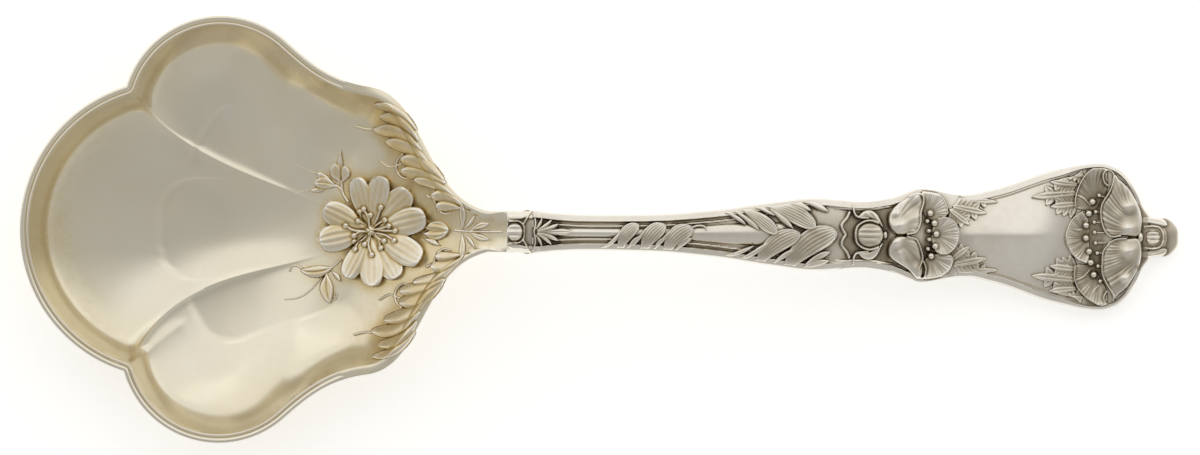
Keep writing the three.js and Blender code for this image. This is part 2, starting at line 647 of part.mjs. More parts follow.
const lowerSpray = compound([[0.348, -0.84], [0.389, -0.84], [0.428, -0.86], [0.462, -0.84]], [
  [[0.347, -0.86], [0.374, -0.27], 0.54],
  [[0.363, -0.86], [0.431, -0.06], 1.4, 0.2],
  [[0.404, -0.79], [0.441, -0.14], 0.54],
  [[0.404, -0.87], [0.493, 0.06], 1.75, 0.25],
  [[0.436, -0.88], [0.498, -0.66], 0.8],
]);
const bracketArm = [[0.509, 0.72], [0.505, 0.5], [0.502, 0.28], [0.506, 0.08]];
const bracket = onHandle(stalk([...bracketArm, ...flipped(bracketArm).reverse()], 1, 16));

const capsuleSeat = (x, y) => handleTop(x, y) - CAPSULE_WIDTH * 0.36;
const sepal = [[0.522, 0.74], [0.53, 0.57], [0.545, 0.5], [0.557, 0.34], [0.562, 0.12]];
const capsule = onHandle(
  bead(place([0.54, 0]), CAPSULE_WIDTH, capsuleSeat, 1, 12),
  stalk(sepal, 1.9),
  stalk(flipped(sepal), 1.9),
  stalk([[0.55, 0], [0.571, 0]], 1, 2),
  bead(place([0.57, 0]), STAMEN_BEAD, handleTop, 1.4),
);

// A poppy in side view: two front petals, three back petals and the stamens between them.
const poppy = ({ frontRoot, frontLip, backRoot, backLip, midRoot, midLip, heads, plate, extra = [] }) => {
  const whole = (half) => [...half, ...flipped(half).reverse().slice(1)];
  const petal = (roots, lips, height) => fan(roots.map(place), lips.map(place), height, handleTop);
  const petalFace = (x, y) => handleTop(x, y) + PETAL_HEIGHT * 0.8;
  const foot = frontLip[3][0];
  return onHandle(
    petal(frontRoot, frontLip, PETAL_HEIGHT * 1.5),
    petal(flipped(frontRoot), flipped(frontLip), PETAL_HEIGHT * 1.5),
    petal(backRoot, backLip, PETAL_HEIGHT),
    petal(flipped(backRoot), flipped(backLip), PETAL_HEIGHT),
    petal(whole(midRoot), whole(midLip), PETAL_HEIGHT),
    petal([plate[0], flipped(plate)[0]], [plate[1], flipped(plate)[1]], PETAL_HEIGHT * 0.6),
    ...whole(heads).map(([share, v]) => stalk([[foot, v * 0.9], [share, v]], 0.5, 1, 1.2)),
    ...whole(heads).map((head) => bead(place(head), STAMEN_BEAD, petalFace)),
    ...extra,
  );
};
const lowerPoppy = poppy({
  frontRoot: [[0.589, 0.66], [0.582, 0.5], [0.58, 0.3], [0.584, 0.11], [0.594, 0.02]],
  frontLip: [[0.622, 0.86], [0.631, 0.71], [0.629, 0.48], [0.629, 0.24], [0.621, 0.02]],
  backRoot: [[0.633, 0.8], [0.635, 0.63], [0.635, 0.42]],
  backLip: [[0.647, 0.86], [0.664, 0.78], [0.671, 0.5]],
  midRoot: [[0.635, 0.4], [0.633, 0.19], [0.633, 0]],
  midLip: [[0.664, 0.42], [0.682, 0.26], [0.688, 0]],
  heads: [[0.643, 0.48], [0.651, 0.27], [0.654, 0]],
  plate: [[0.59, 0.5], [0.658, 0.62]],
});
const upperPoppy = poppy({
  frontRoot: [[0.97, 0.76], [0.976, 0.64], [0.979, 0.44], [0.977, 0.19], [0.967, 0.02]],
  frontLip: [[0.937, 0.88], [0.929, 0.65], [0.924, 0.44], [0.924, 0.24], [0.936, 0.02]],
  backRoot: [[0.923, 0.86], [0.918, 0.63], [0.917, 0.42]],
  backLip: [[0.906, 0.87], [0.889, 0.73], [0.882, 0.45]],
  midRoot: [[0.918, 0.36], [0.917, 0.17], [0.917, 0]],
  midLip: [[0.889, 0.37], [0.875, 0.22], [0.868, 0]],
  heads: [[0.911, 0.49], [0.904, 0.32], [0.899, 0.15], [0.898, 0]],
  plate: [[0.892, 0.56], [0.967, 0.56]],
  extra: [
    stalk([[0.96, 0], [0.987, 0]], 1.25, 2),
    bead(place([0.986, 0]), STAMEN_BEAD, handleTop, 1.4),
  ],
});

const mirroredLeaf = (mirror, stem, lobes) => {
  const side = ([share, v]) => [share, v * mirror];
  return compound(stem.map(side), lobes.map(([root, tip, width]) => [side(root), side(tip), width]));
};
const knopLeaf = (mirror) => mirroredLeaf(mirror, [[0.683, 0.56], [0.687, 0.7], [0.69, 0.8]], [
  [[0.682, 0.57], [0.708, 0.24], 0.95],
  [[0.685, 0.68], [0.727, 0.45], 0.95],
  [[0.688, 0.78], [0.746, 0.7], 0.7],
]);
const terminalLeaf = (mirror) => mirroredLeaf(mirror, [[0.869, 0.57], [0.871, 0.7], [0.871, 0.82]], [
  [[0.871, 0.58], [0.86, 0.42], 0.7],
  [[0.869, 0.66], [0.842, 0.49], 0.95],
  [[0.87, 0.71], [0.81, 0.68], 0.95],
  [[0.871, 0.79], [0.829, 0.85], 0.85],
]);

// Finial: a bud in a ring, with a pointed end, pegged into the end of the handle
const finialStart = HANDLE_END + SOLDER_GAP;
const finialTurn = [
  [0, 0], [0.5, 0], [0.5, 0.05], [0.42, 0.28], [0.4, 0.5], [0.46, 0.62], [0.42, 0.74], [0.44, 0.85],
  [0.2, 1], [0, 1],
];
const finialBody = new THREE.LatheGeometry(
  finialTurn.map(([r, x]) => point(r * FINIAL_WIDTH, x * FINIAL_LENGTH)),
  16,
);
finialBody.rotateZ(-Math.PI / 2);
finialBody.scale(1, 1, (TERMINAL_THICKNESS * 0.9) / FINIAL_WIDTH);
finialBody.translate(finialStart, 0, pegLevel);
const finialTop = () => pegLevel + TERMINAL_THICKNESS * 0.25;
const finial = trimmed(join(
  solidOf(finialBody),
  bead(point(finialStart + FINIAL_LENGTH * 0.3, 0), FINIAL_WIDTH * 0.4, finialTop, 1.1),
  peg(PEG_DIAMETER, HANDLE_END - PEG_LENGTH, finialStart + FINIAL_LENGTH * 0.3),
));

// Collar: a ferrule over the joint, with a bud between two leaves on its face
const collarStart = NECK_END + SOLDER_GAP;
const collarEnd = HANDLE_START - SOLDER_GAP;
const collarMiddle = (collarStart + collarEnd) / 2;
const collarSection = new THREE.Shape();
const collarCorner = COLLAR_THICKNESS * 0.32;
const [collarHalf, collarRise] = [COLLAR_WIDTH / 2, COLLAR_THICKNESS / 2];
collarSection.moveTo(-collarHalf + collarCorner, -collarRise);
collarSection.lineTo(collarHalf - collarCorner, -collarRise);
collarSection.quadraticCurveTo(collarHalf, -collarRise, collarHalf, -collarRise + collarCorner);
collarSection.lineTo(collarHalf, collarRise - collarCorner);
collarSection.quadraticCurveTo(collarHalf, collarRise, collarHalf - collarCorner, collarRise);
collarSection.lineTo(-collarHalf + collarCorner, collarRise);
collarSection.quadraticCurveTo(-collarHalf, collarRise, -collarHalf, collarRise - collarCorner);
collarSection.lineTo(-collarHalf, -collarRise + collarCorner);
collarSection.quadraticCurveTo(-collarHalf, -collarRise, -collarHalf + collarCorner, -collarRise);
const collarBand = new THREE.ExtrudeGeometry(collarSection, {
  depth: collarEnd - collarStart,
  bevelEnabled: false,
  curveSegments: 4,
});
collarBand.rotateX(Math.PI / 2);
collarBand.rotateZ(Math.PI / 2);
collarBand.translate(collarStart, 0, tangLevel);
const collarFace = () => tangLevel + collarRise - 0.1;
const collarLeaf = (mirror) => lobe(
  point(collarStart + 0.25, collarHalf * 0.5 * mirror),
  point(collarEnd - 0.2, collarHalf * 0.72 * mirror),
  1,
  LEAF_HEIGHT,
  collarFace,
  { bend: 0.15 * mirror },
);
const collar = trimmed(join(
  solidOf(collarBand),
  bead(point(collarMiddle - 0.3, 0), COLLAR_LENGTH * 0.6, () => collarFace() - 0.45, 1.15),
  collarLeaf(1),
  collarLeaf(-1),
).subtract(tangBox(collarStart - 1, collarEnd + 1, SOLDER_GAP)));

// Assembly
const GILT = 0xd3c69d;
const GILT_RELIEF = 0xcfc4a0;
const SILVER = 0xc4beb2;
const SILVER_RELIEF = 0xbdb6a9;

const spoon = new THREE.Group();
const add = (name, solid, color, roughness) => {
  const geometry = geometryOf(solid).toNonIndexed();
  geometry.computeVertexNormals();
  const mesh = new THREE.Mesh(geometry, new THREE.MeshStandardMaterial({ color, roughness, metalness: 1 }));
  mesh.name = name;
  spoon.add(mesh);
};

add('bowl', bowl, GILT, 0.28);
add('bowl_rim', rim, GILT, 0.25);
add('bowl_rose', rose, GILT_RELIEF, 0.3);
add('rose_stamens', stamens, GILT_RELIEF, 0.3);
add('upper_rose_sprig', upperSprig, GILT_RELIEF, 0.3);
add('lower_rose_sprig', lowerSprig, GILT_RELIEF, 0.3);
add('rose_bud', bud, GILT_RELIEF, 0.3);
add('upper_shoulder_plume', plume(1), GILT_RELIEF, 0.3);
add('lower_shoulder_plume', plume(-1), GILT_RELIEF, 0.3);
add('neck_sprig', neckSprig, GILT_RELIEF, 0.3);
add('collar', collar, SILVER_RELIEF, 0.3);
add('handle', handle, SILVER, 0.24);
add('palmette', palmette, SILVER_RELIEF, 0.3);
add('stem_leaf', stemLeaf, SILVER_RELIEF, 0.3);
add('upper_stem_spray', upperSpray, SILVER_RELIEF, 0.3);
add('lower_stem_spray', lowerSpray, SILVER_RELIEF, 0.3);
add('bracket', bracket, SILVER_RELIEF, 0.3);
add('poppy_capsule', capsule, SILVER_RELIEF, 0.3);
add('lower_poppy', lowerPoppy, SILVER_RELIEF, 0.3);
add('upper_knop_leaf', knopLeaf(1), SILVER_RELIEF, 0.3);
add('lower_knop_leaf', knopLeaf(-1), SILVER_RELIEF, 0.3);
add('upper_terminal_leaf', terminalLeaf(1), SILVER_RELIEF, 0.3);
add('lower_terminal_leaf', terminalLeaf(-1), SILVER_RELIEF, 0.3);
add('terminal_poppy', upperPoppy, SILVER_RELIEF, 0.3);
add('upper_border', border(1), SILVER, 0.26);
add('lower_border', border(-1), SILVER, 0.26);
add('finial', finial, SILVER_RELIEF, 0.3);

export default spoon;
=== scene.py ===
"""A bonbon spoon: a gilt three-lobed bowl with a rose, and a silver handle with poppies in relief.

Heights and places are worked out in millimetres in the part's own frame, and turned to metres where a mesh is
made.
"""

import functools
import math

import bpy
import numpy as np
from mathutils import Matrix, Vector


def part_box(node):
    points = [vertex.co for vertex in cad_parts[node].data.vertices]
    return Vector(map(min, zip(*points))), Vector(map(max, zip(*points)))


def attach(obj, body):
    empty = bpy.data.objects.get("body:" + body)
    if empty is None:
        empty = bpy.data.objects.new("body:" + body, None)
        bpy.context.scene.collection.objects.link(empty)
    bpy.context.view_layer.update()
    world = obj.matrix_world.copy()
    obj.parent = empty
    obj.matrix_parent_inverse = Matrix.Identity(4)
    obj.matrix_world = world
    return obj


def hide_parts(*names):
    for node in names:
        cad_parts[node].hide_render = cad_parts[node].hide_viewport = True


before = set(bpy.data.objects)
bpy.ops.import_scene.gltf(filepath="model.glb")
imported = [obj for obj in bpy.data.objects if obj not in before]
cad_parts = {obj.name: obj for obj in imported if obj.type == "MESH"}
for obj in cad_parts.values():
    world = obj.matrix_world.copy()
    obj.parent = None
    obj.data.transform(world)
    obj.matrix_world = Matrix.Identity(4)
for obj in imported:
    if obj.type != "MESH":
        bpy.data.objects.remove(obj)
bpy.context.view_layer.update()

bl_info = {
    "name": "Bonbon Spoon",
    "version": (1, 0, 0),
    "blender": (4, 5, 0),
    "location": "View3D > Sidebar > Spoon",
    "description": "Builds a gilt and silver bonbon spoon with flowers in relief",
    "category": "Add Mesh",
}

MM = 0.001


def node_box(node):
    """Lowest and highest corner of a node of the frame, in millimetres."""
    low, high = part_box(node)
    return np.array(low) / MM, np.array(high) / MM


# Bowl in plan
TIP_LOBE_RADIUS = 15.4
TIP_STATION = node_box("bowl")[0][0]
TIP_LOBE_SETBACK = -TIP_STATION - TIP_LOBE_RADIUS
SIDE_LOBE_RADIUS = 10.15
SIDE_LOBE_SPACING = 23.8
SIDE_LOBE_STATION = 0.3
LOBE_END = math.radians(48)
WAIST = (15.6, 14.85)
SHOULDER = (21.2, 9.3)
NECK = (28.0, 2.1)
NECK_END = 30.0

# Bowl in section; a pair is for the tip lobe and for the side lobes
RIM_LEVEL = 7.9
NECK_LEVEL = 11.0
NECK_THICKNESS = 2.4
SHEET = 0.95
BED = 0.75
LIP = 0.9
WALL_RUN = (2.4, 3.2)
FOOT_RUN = (4.2, 6.5)
FOOT_SHARE = (0.1, 0.5)
WALL_POWER = 3.1
NECK_WALL_RUN = 4.5
NECK_FOOT_RUN = 9.0
NECK_WALL_POWER = 2.0
FLAT_REACH = (21.8, 20.1)
FLAT_HALF = 5.2
FLAT_SIDE = 6.4
FLAT_CORNER = 2.8
FLAT_STEP = 0.1
DISH_SLOPE = 0.15
FLOOR_FADE_START = 7.0
FLOOR_FADE_END = 14.0

# Ridges between the lobes; the pair is for the lower and the upper one
RIDGE_BEND = (0.36, 0.2)
RIDGE_TURN = 0.55
RIDGE_INNER_RUN = 2.0
RIDGE_OUTER_RUN = 4.5
CREST_RUN = 0.22
CREST_SHARE = 0.2
NOTCH_FOLD = 7.0
FOLD_HEIGHT = 0.9
FOLD_RUN = 1.1
SIDE_LOBE_SLOPE = 0.14

# Handle
HANDLE_START = node_box("handle")[0][0]
HANDLE_END = node_box("handle")[1][0]
HANDLE_LENGTH = HANDLE_END - HANDLE_START
TERMINAL_HALF = node_box("handle")[1][1]
STEM_HALF = 1.81
HANDLE_CREST = 11.3
STEM_THICKNESS = 2.5
TERMINAL_THICKNESS = 2.0
BORDER_SPAN = 1.06
COLLAR_LEVEL = NECK_LEVEL - NECK_THICKNESS / 2

# Runs along the handle over which a form starts or ends
SUNK_START = (33.0, 33.6)
SUNK_END = (75.5, 76.5)
STEM_START = (33.0, 34.5)
STEM_END = (56.0, 61.0)
FLUTE_START = (34.0, 36.0)
FLUTE_END = (57.5, 60.0)
BRACKET_START = (63.5, 65.0)
BRACKET_END = (69.0, 71.0)
BORDER_END = (70.0, 74.0)
KEEL_START = (76.0, 78.5)
KEEL_END = (84.0, 88.5)

# Relief
FLOWER = np.array([15.8, 0.0])
SINK = 0.35
HIDDEN = -0.6
CUT_LEVEL = -0.3
EDGE_FALL = 4.0

# Angles in degrees from which an edge is sharp
SLAB_CREASE = 34
BOWL_CREASE = 36
MOULDING_CREASE = 70

# Distances of the wall's columns from the bowl's rim
WALL_COLUMNS = np.concatenate([np.linspace(0, 1.2, 9), np.linspace(1.35, 6.4, 32)])

# Backs, which are plain and have fewer faces
PLAIN_COLUMNS = 15
SILVER_BACK_PATINA = 0.2
GILT_BACK_PATINA = 0.4


def linear(hex_colour):
    """Linear RGB of an sRGB hex colour."""
    shares = [int(hex_colour[i:i + 2], 16) / 255 for i in (1, 3, 5)]
    return tuple(c / 12.92 if c <= 0.04045 else ((c + 0.055) / 1.055) ** 2.4 for c in shares)


def smoothstep(x, start, end):
    """A smooth step from 0 at start to 1 at end."""
    t = np.clip((x - start) / (end - start), 0, 1)
    return t * t * (3 - 2 * t)


def lerp(a, b, share):
    """The value at a share of the way from a to b."""
    return a + (b - a) * share


def soft_ramp(x, width):
    """Close to 0 below 0 and close to x above it, with a soft corner of that width."""
    return width * np.logaddexp(0, x / width)


def plateau(x, rise, fall):
    """1 between a smooth rise and a smooth fall, each given by its start and end, and 0 outside them."""
    return smoothstep(x, *rise) * (1 - smoothstep(x, *fall))


def half_round(x, middle, half):
    """A half-round section, 1 high at its middle and 0 beyond its half width."""
    return np.sqrt(np.clip(1 - ((x - middle) / half) ** 2, 0, 1))


def profile(stations):
    """A smooth curve through stations that never overshoots them."""
    xs, ys = np.array(stations, float).T
    spans = np.diff(xs)
    slopes = np.diff(ys) / spans
    before = np.concatenate([slopes[:1], slopes])
    after = np.concatenate([slopes, slopes[-1:]])
    turning = before * after <= 0
    tangents = np.where(turning, 0, 2 * before * after / np.where(turning, 1, before + after))

    def curve(x):
        x = np.clip(x, xs[0], xs[-1])
        i = np.clip(np.searchsorted(xs, x, side="right") - 1, 0, len(spans) - 1)
        t = (x - xs[i]) / spans[i]
        ease = smoothstep(t, 0, 1)
        lead = spans[i] * (t * (1 - t) ** 2 * tangents[i] - t * t * (1 - t) * tangents[i + 1])
        return ys[i] + (ys[i + 1] - ys[i]) * ease + lead

    return curve


def heading(angle, length):
    """A step in plan of that length at that angle."""
    return length * np.array([math.cos(angle), math.sin(angle)])


def arc(centre, radius, start, end, count):
    """Points of an arc in plan."""
    angles = np.linspace(start, end, count)
    return centre + radius * np.stack([np.cos(angles), np.sin(angles)], 1)


def sweep(start, start_angle, end, end_angle, count):
    """Points of a smooth bend in plan between two places and headings."""
    start, end = np.array(start), np.array(end)
    pull = 0.38 * np.hypot(*(end - start))
    first = start + heading(start_angle, pull)
    second = end - heading(end_angle, pull)
    t = np.linspace(0, 1, count)[:, None]
    return (1 - t) ** 3 * start + 3 * t * (1 - t) ** 2 * first + 3 * t * t * (1 - t) * second + t ** 3 * end


def spline(points, closed=False, steps=8):
    """A smooth path through points in plan."""
    p = np.array(points, float)
    if closed:
        p = np.concatenate([p[-1:], p, p[:2]])
    else:
        p = np.concatenate([2 * p[:1] - p[1:2], p, 2 * p[-1:] - p[-2:-1]])
    t = np.linspace(0, 1, steps, endpoint=False)[None, :, None]
    a, b, c, d = (p[i:len(p) - 3 + i, None] for i in range(4))
    path = b + 0.5 * t * (c - a + t * (2 * a - 5 * b + 4 * c - d + t * (3 * (b - c) + d - a)))
    path = path.reshape(-1, 2)
    return path if closed else np.concatenate([path, p[-2:-1]])


def distance_to(path, x, y):
    """Distance of each point from an open path, and the share of the path where it is nearest."""
    flat = np.stack([np.ravel(x), np.ravel(y)], 1)
    start, run = path[:-1], np.diff(path, axis=0)
    square = np.maximum((run ** 2).sum(1), 1e-12)
    nearest = np.empty(len(flat))
    share = np.empty(len(flat))
    for i in range(0, len(flat), 4096):
        gap = flat[i:i + 4096, None] - start
        t = np.clip((gap * run).sum(2) / square, 0, 1)
        apart = ((gap - t[..., None] * run) ** 2).sum(2)
        best = apart.argmin(1)
        rows = np.arange(len(best))
        nearest[i:i + 4096] = np.sqrt(apart[rows, best])
        share[i:i + 4096] = (best + t[rows, best]) / len(run)
    return nearest.reshape(np.shape(x)), share.reshape(np.shape(x))


def inside(path, x, y):
    """Whether each point lies inside a closed path."""
    ends = np.roll(path, -1, axis=0)
    crossings = np.zeros(np.shape(x), int)
    for (ax, ay), (bx, by) in zip(path, ends):
        if ay != by:
            crosses = (ay > y) != (by > y)
            crossings += crosses & (x < ax + (y - ay) * (bx - ax) / (by - ay))
    return crossings % 2 == 1


class BowlForm:
    """The bowl's outline and its surfaces."""

    def __init__(self, ridge_height):
        self.ridge_height = ridge_height
        tip = np.array([-TIP_LOBE_SETBACK, 0.0])
        side = np.array([SIDE_LOBE_STATION, SIDE_LOBE_SPACING / 2])
        between = side - tip
        spread = np.hypot(*between)
        chord = (TIP_LOBE_RADIUS ** 2 - SIDE_LOBE_RADIUS ** 2 + spread ** 2) / (2 * spread)
        reach = math.sqrt(TIP_LOBE_RADIUS ** 2 - chord ** 2)
        across = np.array([-between[1], between[0]]) / spread
        notch = tip + between * chord / spread + across * reach
        tip_notch = math.atan2(*(notch - tip)[::-1])
        side_notch = math.atan2(*(notch - side)[::-1])
        lobe_end = side + heading(LOBE_END, SIDE_LOBE_RADIUS)
        self.rim = np.concatenate([
            arc(tip, TIP_LOBE_RADIUS, math.pi, tip_notch, 76),
            arc(side, SIDE_LOBE_RADIUS, side_notch, LOBE_END, 90)[1:],
            sweep(lobe_end, LOBE_END - math.pi / 2, WAIST, math.radians(-8), 30)[1:],
        ])
        shoulder = np.concatenate([
            sweep(WAIST, math.radians(-8), SHOULDER, math.radians(-62), 30),
            sweep(SHOULDER, math.radians(-62), NECK, math.radians(-14), 36)[1:],
            np.linspace(NECK, (NECK_END, NECK[1]), 8)[1:],
        ])
        self.upper = np.concatenate([self.rim, shoulder[1:]])
        self.notch = notch
        self.lobes = ((tip, TIP_LOBE_RADIUS), (side, SIDE_LOBE_RADIUS))
        self.notch_angle = math.atan2(notch[1], FLOWER[0] - notch[0])
        self.notch_reach = np.hypot(*(notch - FLOWER))
        rise = functools.partial(lerp, BED, NECK_LEVEL)
        nape = lerp(SHOULDER[0], NECK_END, 0.55)
        self.floor_line = profile([
            (TIP_STATION, BED), (-6, BED + 0.01), (0, BED + 0.1), (4, BED + 0.4), (10, rise(0.18)),
            (WAIST[0], rise(0.39)), (SHOULDER[0], rise(0.67)), (nape, rise(0.91)), (NECK_END, NECK_LEVEL),
        ])
        climb = functools.partial(lerp, RIM_LEVEL, NECK_LEVEL)
        self.rim_line = profile([
            (TIP_STATION, RIM_LEVEL + 0.5), (0, RIM_LEVEL), (WAIST[0], climb(0.29)),
            (SHOULDER[0], climb(0.54)), (NECK_END, NECK_LEVEL + 0.2),
        ])

    def outline(self):
        """The closed outline, from the tip round the upper side and the neck, back along the lower side."""
        half = NECK[1]
        end = np.stack([np.full(7, NECK_END), np.linspace(half, -half, 9)[1:-1]], 1)
        return np.concatenate([self.upper, end, self.upper[:0:-1] * (1, -1)])

    def edge_distance(self, x, y):
        """Distance from the outline: creased inward from each notch, smooth along the neck's middle."""
        y = np.abs(y)
        near = distance_to(self.upper, x, y)[0]
        far = distance_to(self.upper, x, -y)[0]
        creased = np.maximum.reduce([
            radius - np.hypot(x - centre[0], y - centre[1]) for centre, radius in self.lobes
        ])
        corner = 1 - smoothstep(np.hypot(x - self.notch[0], y - self.notch[1]), 7, 10)
        near = lerp(near, np.clip(creased, 0, near), corner)
        softened = -np.log(np.exp(-1.2 * near) + np.exp(-1.2 * far)) / 1.2
        return lerp(near, np.maximum(softened, 0), smoothstep(x, 6, 16))

    def crest_turn(self, share, y):
        """How far a ridge's crest turns off the straight line from the rose to its notch.

        The lower ridge bends more than the upper one.
        """
        bend = lerp(*RIDGE_BEND, smoothstep(y, -3, 3)) * self.notch_angle
        return bend * (((share - RIDGE_TURN) / (1 - RIDGE_TURN)) ** 2 - 1)

    def floor(self, x, y):
        """The inside of the bowl without its walls: a flat in each lobe, a slope round it, ridges between."""
        reach = np.hypot(x - FLOWER[0], y)
        angle = np.arctan2(np.abs(y), FLOWER[0] - x)
        crest = self.notch_angle + self.crest_turn(reach / self.notch_reach, y)
        past = (angle - crest) * reach
        softness = lerp(0.08, 0.02, smoothstep(reach, self.notch_reach * 0.3, self.notch_reach * 0.95))
        apart = np.hypot(past, softness)
        slopes = []
        for end, side in zip(FLAT_REACH, (np.abs(y) - FLAT_HALF, past - FLAT_SIDE)):
            beyond = np.hypot(np.maximum(reach - end + FLAT_CORNER, 0), np.maximum(side + FLAT_CORNER, 0))
            beyond = beyond - FLAT_CORNER
            slopes.append(DISH_SLOPE * soft_ramp(beyond, 0.12) + FLAT_STEP * smoothstep(beyond, -0.1, 0.3))
        slope = lerp(*slopes, smoothstep(past, -2.5, 0))
        fold = smoothstep(reach, self.notch_reach - NOTCH_FOLD, self.notch_reach)
        height = self.ridge_height * smoothstep(reach, self.notch_reach * 0.15, self.notch_reach * 0.5)
        inner = np.exp(-apart / RIDGE_INNER_RUN) * smoothstep(angle / crest, 0, 0.8)
        outer = lerp(np.exp(-apart / RIDGE_OUTER_RUN), np.exp(-apart / CREST_RUN), CREST_SHARE)
        ridge = height * lerp(inner, outer, smoothstep(past, -0.1, 0.1))
        ridge = ridge + FOLD_HEIGHT * fold * np.exp(-apart / FOLD_RUN)
        fade = 1 - smoothstep(x, FLOOR_FADE_START, FLOOR_FADE_END)
        return self.floor_line(x) + (ridge + slope + SIDE_LOBE_SLOPE * soft_ramp(past, 0.3)) * fade

    def surface(self, x, y, distance):
        """Height of the sheet at that distance from its edge: a wall that steepens towards the rim."""
        floor = self.floor(x, y)
        side = smoothstep(x, -9, 0)
        neck = smoothstep(x, 9, SHOULDER[0])
        wall_run = lerp(lerp(*WALL_RUN, side), NECK_WALL_RUN, neck)
        foot_run = lerp(lerp(*FOOT_RUN, side), NECK_FOOT_RUN, neck)
        steep = np.clip(1 - distance / wall_run, 0, 1) ** lerp(WALL_POWER, NECK_WALL_POWER, neck)
        foot = np.clip(1 - distance / foot_run, 0, 1) ** 2
        return floor + np.maximum(self.rim_line(x) - floor, 0) * lerp(steep, foot, lerp(*FOOT_SHARE, side))

    def band(self, x, distance):
        """How much there is of the smooth band along the shoulders and the neck's edges, 0 to 1."""
        half = lerp(0.7, 0.34, smoothstep(x, 21, 26))
        return smoothstep(x, 15, 18) * half_round(distance, half * 0.9, half)

    def top(self, x, y):
        """Height of the upper face, with the neck's raised edges."""
        distance = self.edge_distance(x, y)
        return self.surface(x, y, np.maximum(distance - LIP, 0)) + 0.28 * self.band(x, distance)

    def under(self, x, y):
        """Height of the underside, flat where the spoon rests."""
        thickness = lerp(SHEET, NECK_THICKNESS, smoothstep(x, WAIST[0] + 2, NECK[0]))
        return np.maximum(self.surface(x, y, self.edge_distance(x, y)) - thickness, 0)


class HandleForm:
    """The handle's outline, its smooth ground and the mouldings on it."""

    def __init__(self):
        half = TERMINAL_HALF
        self.half = profile([
            (HANDLE_START + share * HANDLE_LENGTH, width) for share, width in (
                (0, 2.21), (0.047, STEM_HALF * 1.056), (0.096, STEM_HALF), (0.193, STEM_HALF + 0.1),
                (0.29, STEM_HALF + 0.57), (0.387, STEM_HALF + 1.45), (0.455, 3.72), (0.533, 3.41),
                (0.577, 3.76), (0.63, 4.81), (0.695, 4.18), (0.752, 4.86), (0.85, 6.88), (0.922, half + 0.05),
                (0.947, half * 0.95), (0.965, half * 0.83), (0.98, half * 0.63), (0.991, 3.2), (1, 2.4),
            )
        ])
        drop = functools.partial(lerp, HANDLE_CREST, TERMINAL_THICKNESS)
        self.crest = profile([
            (HANDLE_START + share * HANDLE_LENGTH, level) for share, level in (
                (0, NECK_LEVEL + 0.1), (0.114, HANDLE_CREST), (0.271, drop(0.085)), (0.428, drop(0.28)),
                (0.585, drop(0.55)), (0.741, drop(0.83)), (0.87, TERMINAL_THICKNESS),
                (0.93, TERMINAL_THICKNESS - 0.2), (1, TERMINAL_THICKNESS + 0.1),
            )
        ])

    def depth(self, x):
        """Thickness of the handle."""
        share = (x - HANDLE_START) / HANDLE_LENGTH
        return lerp(STEM_THICKNESS, TERMINAL_THICKNESS, smoothstep(share, 0.1, 0.85))

    def edge(self, x, y):
        """Distance across the handle from its edge."""
        return self.half(x) - np.abs(y)

    def ground(self, x, y):
        """The smooth ground that the ornament stands on, with the cartouche's soft keel."""
        v = np.clip(np.abs(y) / self.half(x), 0, 1)
        keel = plateau(x, KEEL_START, KEEL_END)
        roof = 0.4 - 0.16 * (np.hypot(v * self.half(x), 0.3) - 0.3)
        return self.crest(x) - 0.17 * self.depth(x) * v ** 2 + roof * keel

    def ornament_cap(self, x, y):
        """The height that ornament may have: it runs out at the edge, and inside the cartouche's borders."""
        inner = lerp(0.35, 1.0, smoothstep(x, 79, 82.5))
        inner = inner - 0.6 * plateau(x, (88.5, 90.2), (92.6, 93.6))
        return 1.9 * smoothstep(self.edge(x, y), inner - 0.5, inner + 0.6) - 0.5

    def moulding(self, x, y):
        """Borders, grooves and the flute on the stem, above or below the ground."""
        edge = np.maximum(self.edge(x, y), 0)
        stem = plateau(x, STEM_START, STEM_END)
        bracket = plateau(x, BRACKET_START, BRACKET_END)
        sunk = plateau(x, SUNK_START, SUNK_END)
        border = plateau(edge, (-0.05, 0.14), (0.64, 0.84)) * (1 - smoothstep(x, *BORDER_END))
        border = border * (0.5 + 0.5 * np.clip(edge / 0.7, 0, 1))
        band = half_round(edge, 0.45, 0.55) * bracket
        line = half_round(edge, 1.14, 0.14) * stem
        flute_half = lerp(0.46, 1.2, smoothstep(x, 44, 57))
        flute = half_round(y, 0, flute_half) * plateau(x, FLUTE_START, FLUTE_END)
        return -0.24 * sunk + np.maximum.reduce([0.48 * border, 0.4 * band, 0.24 * line, 0.42 * flute])

    def top(self, x, y):
        """Height of the upper face."""
        return self.ground(x, y) + self.moulding(x, y)

    def under(self, x, y):
        """Height of the underside, flat where the spoon rests."""
        v = np.clip(np.abs(y) / self.half(x), 0, 1)
        return np.maximum(self.crest(x) - self.depth(x) * (1 - 0.25 * v ** 3), 0)


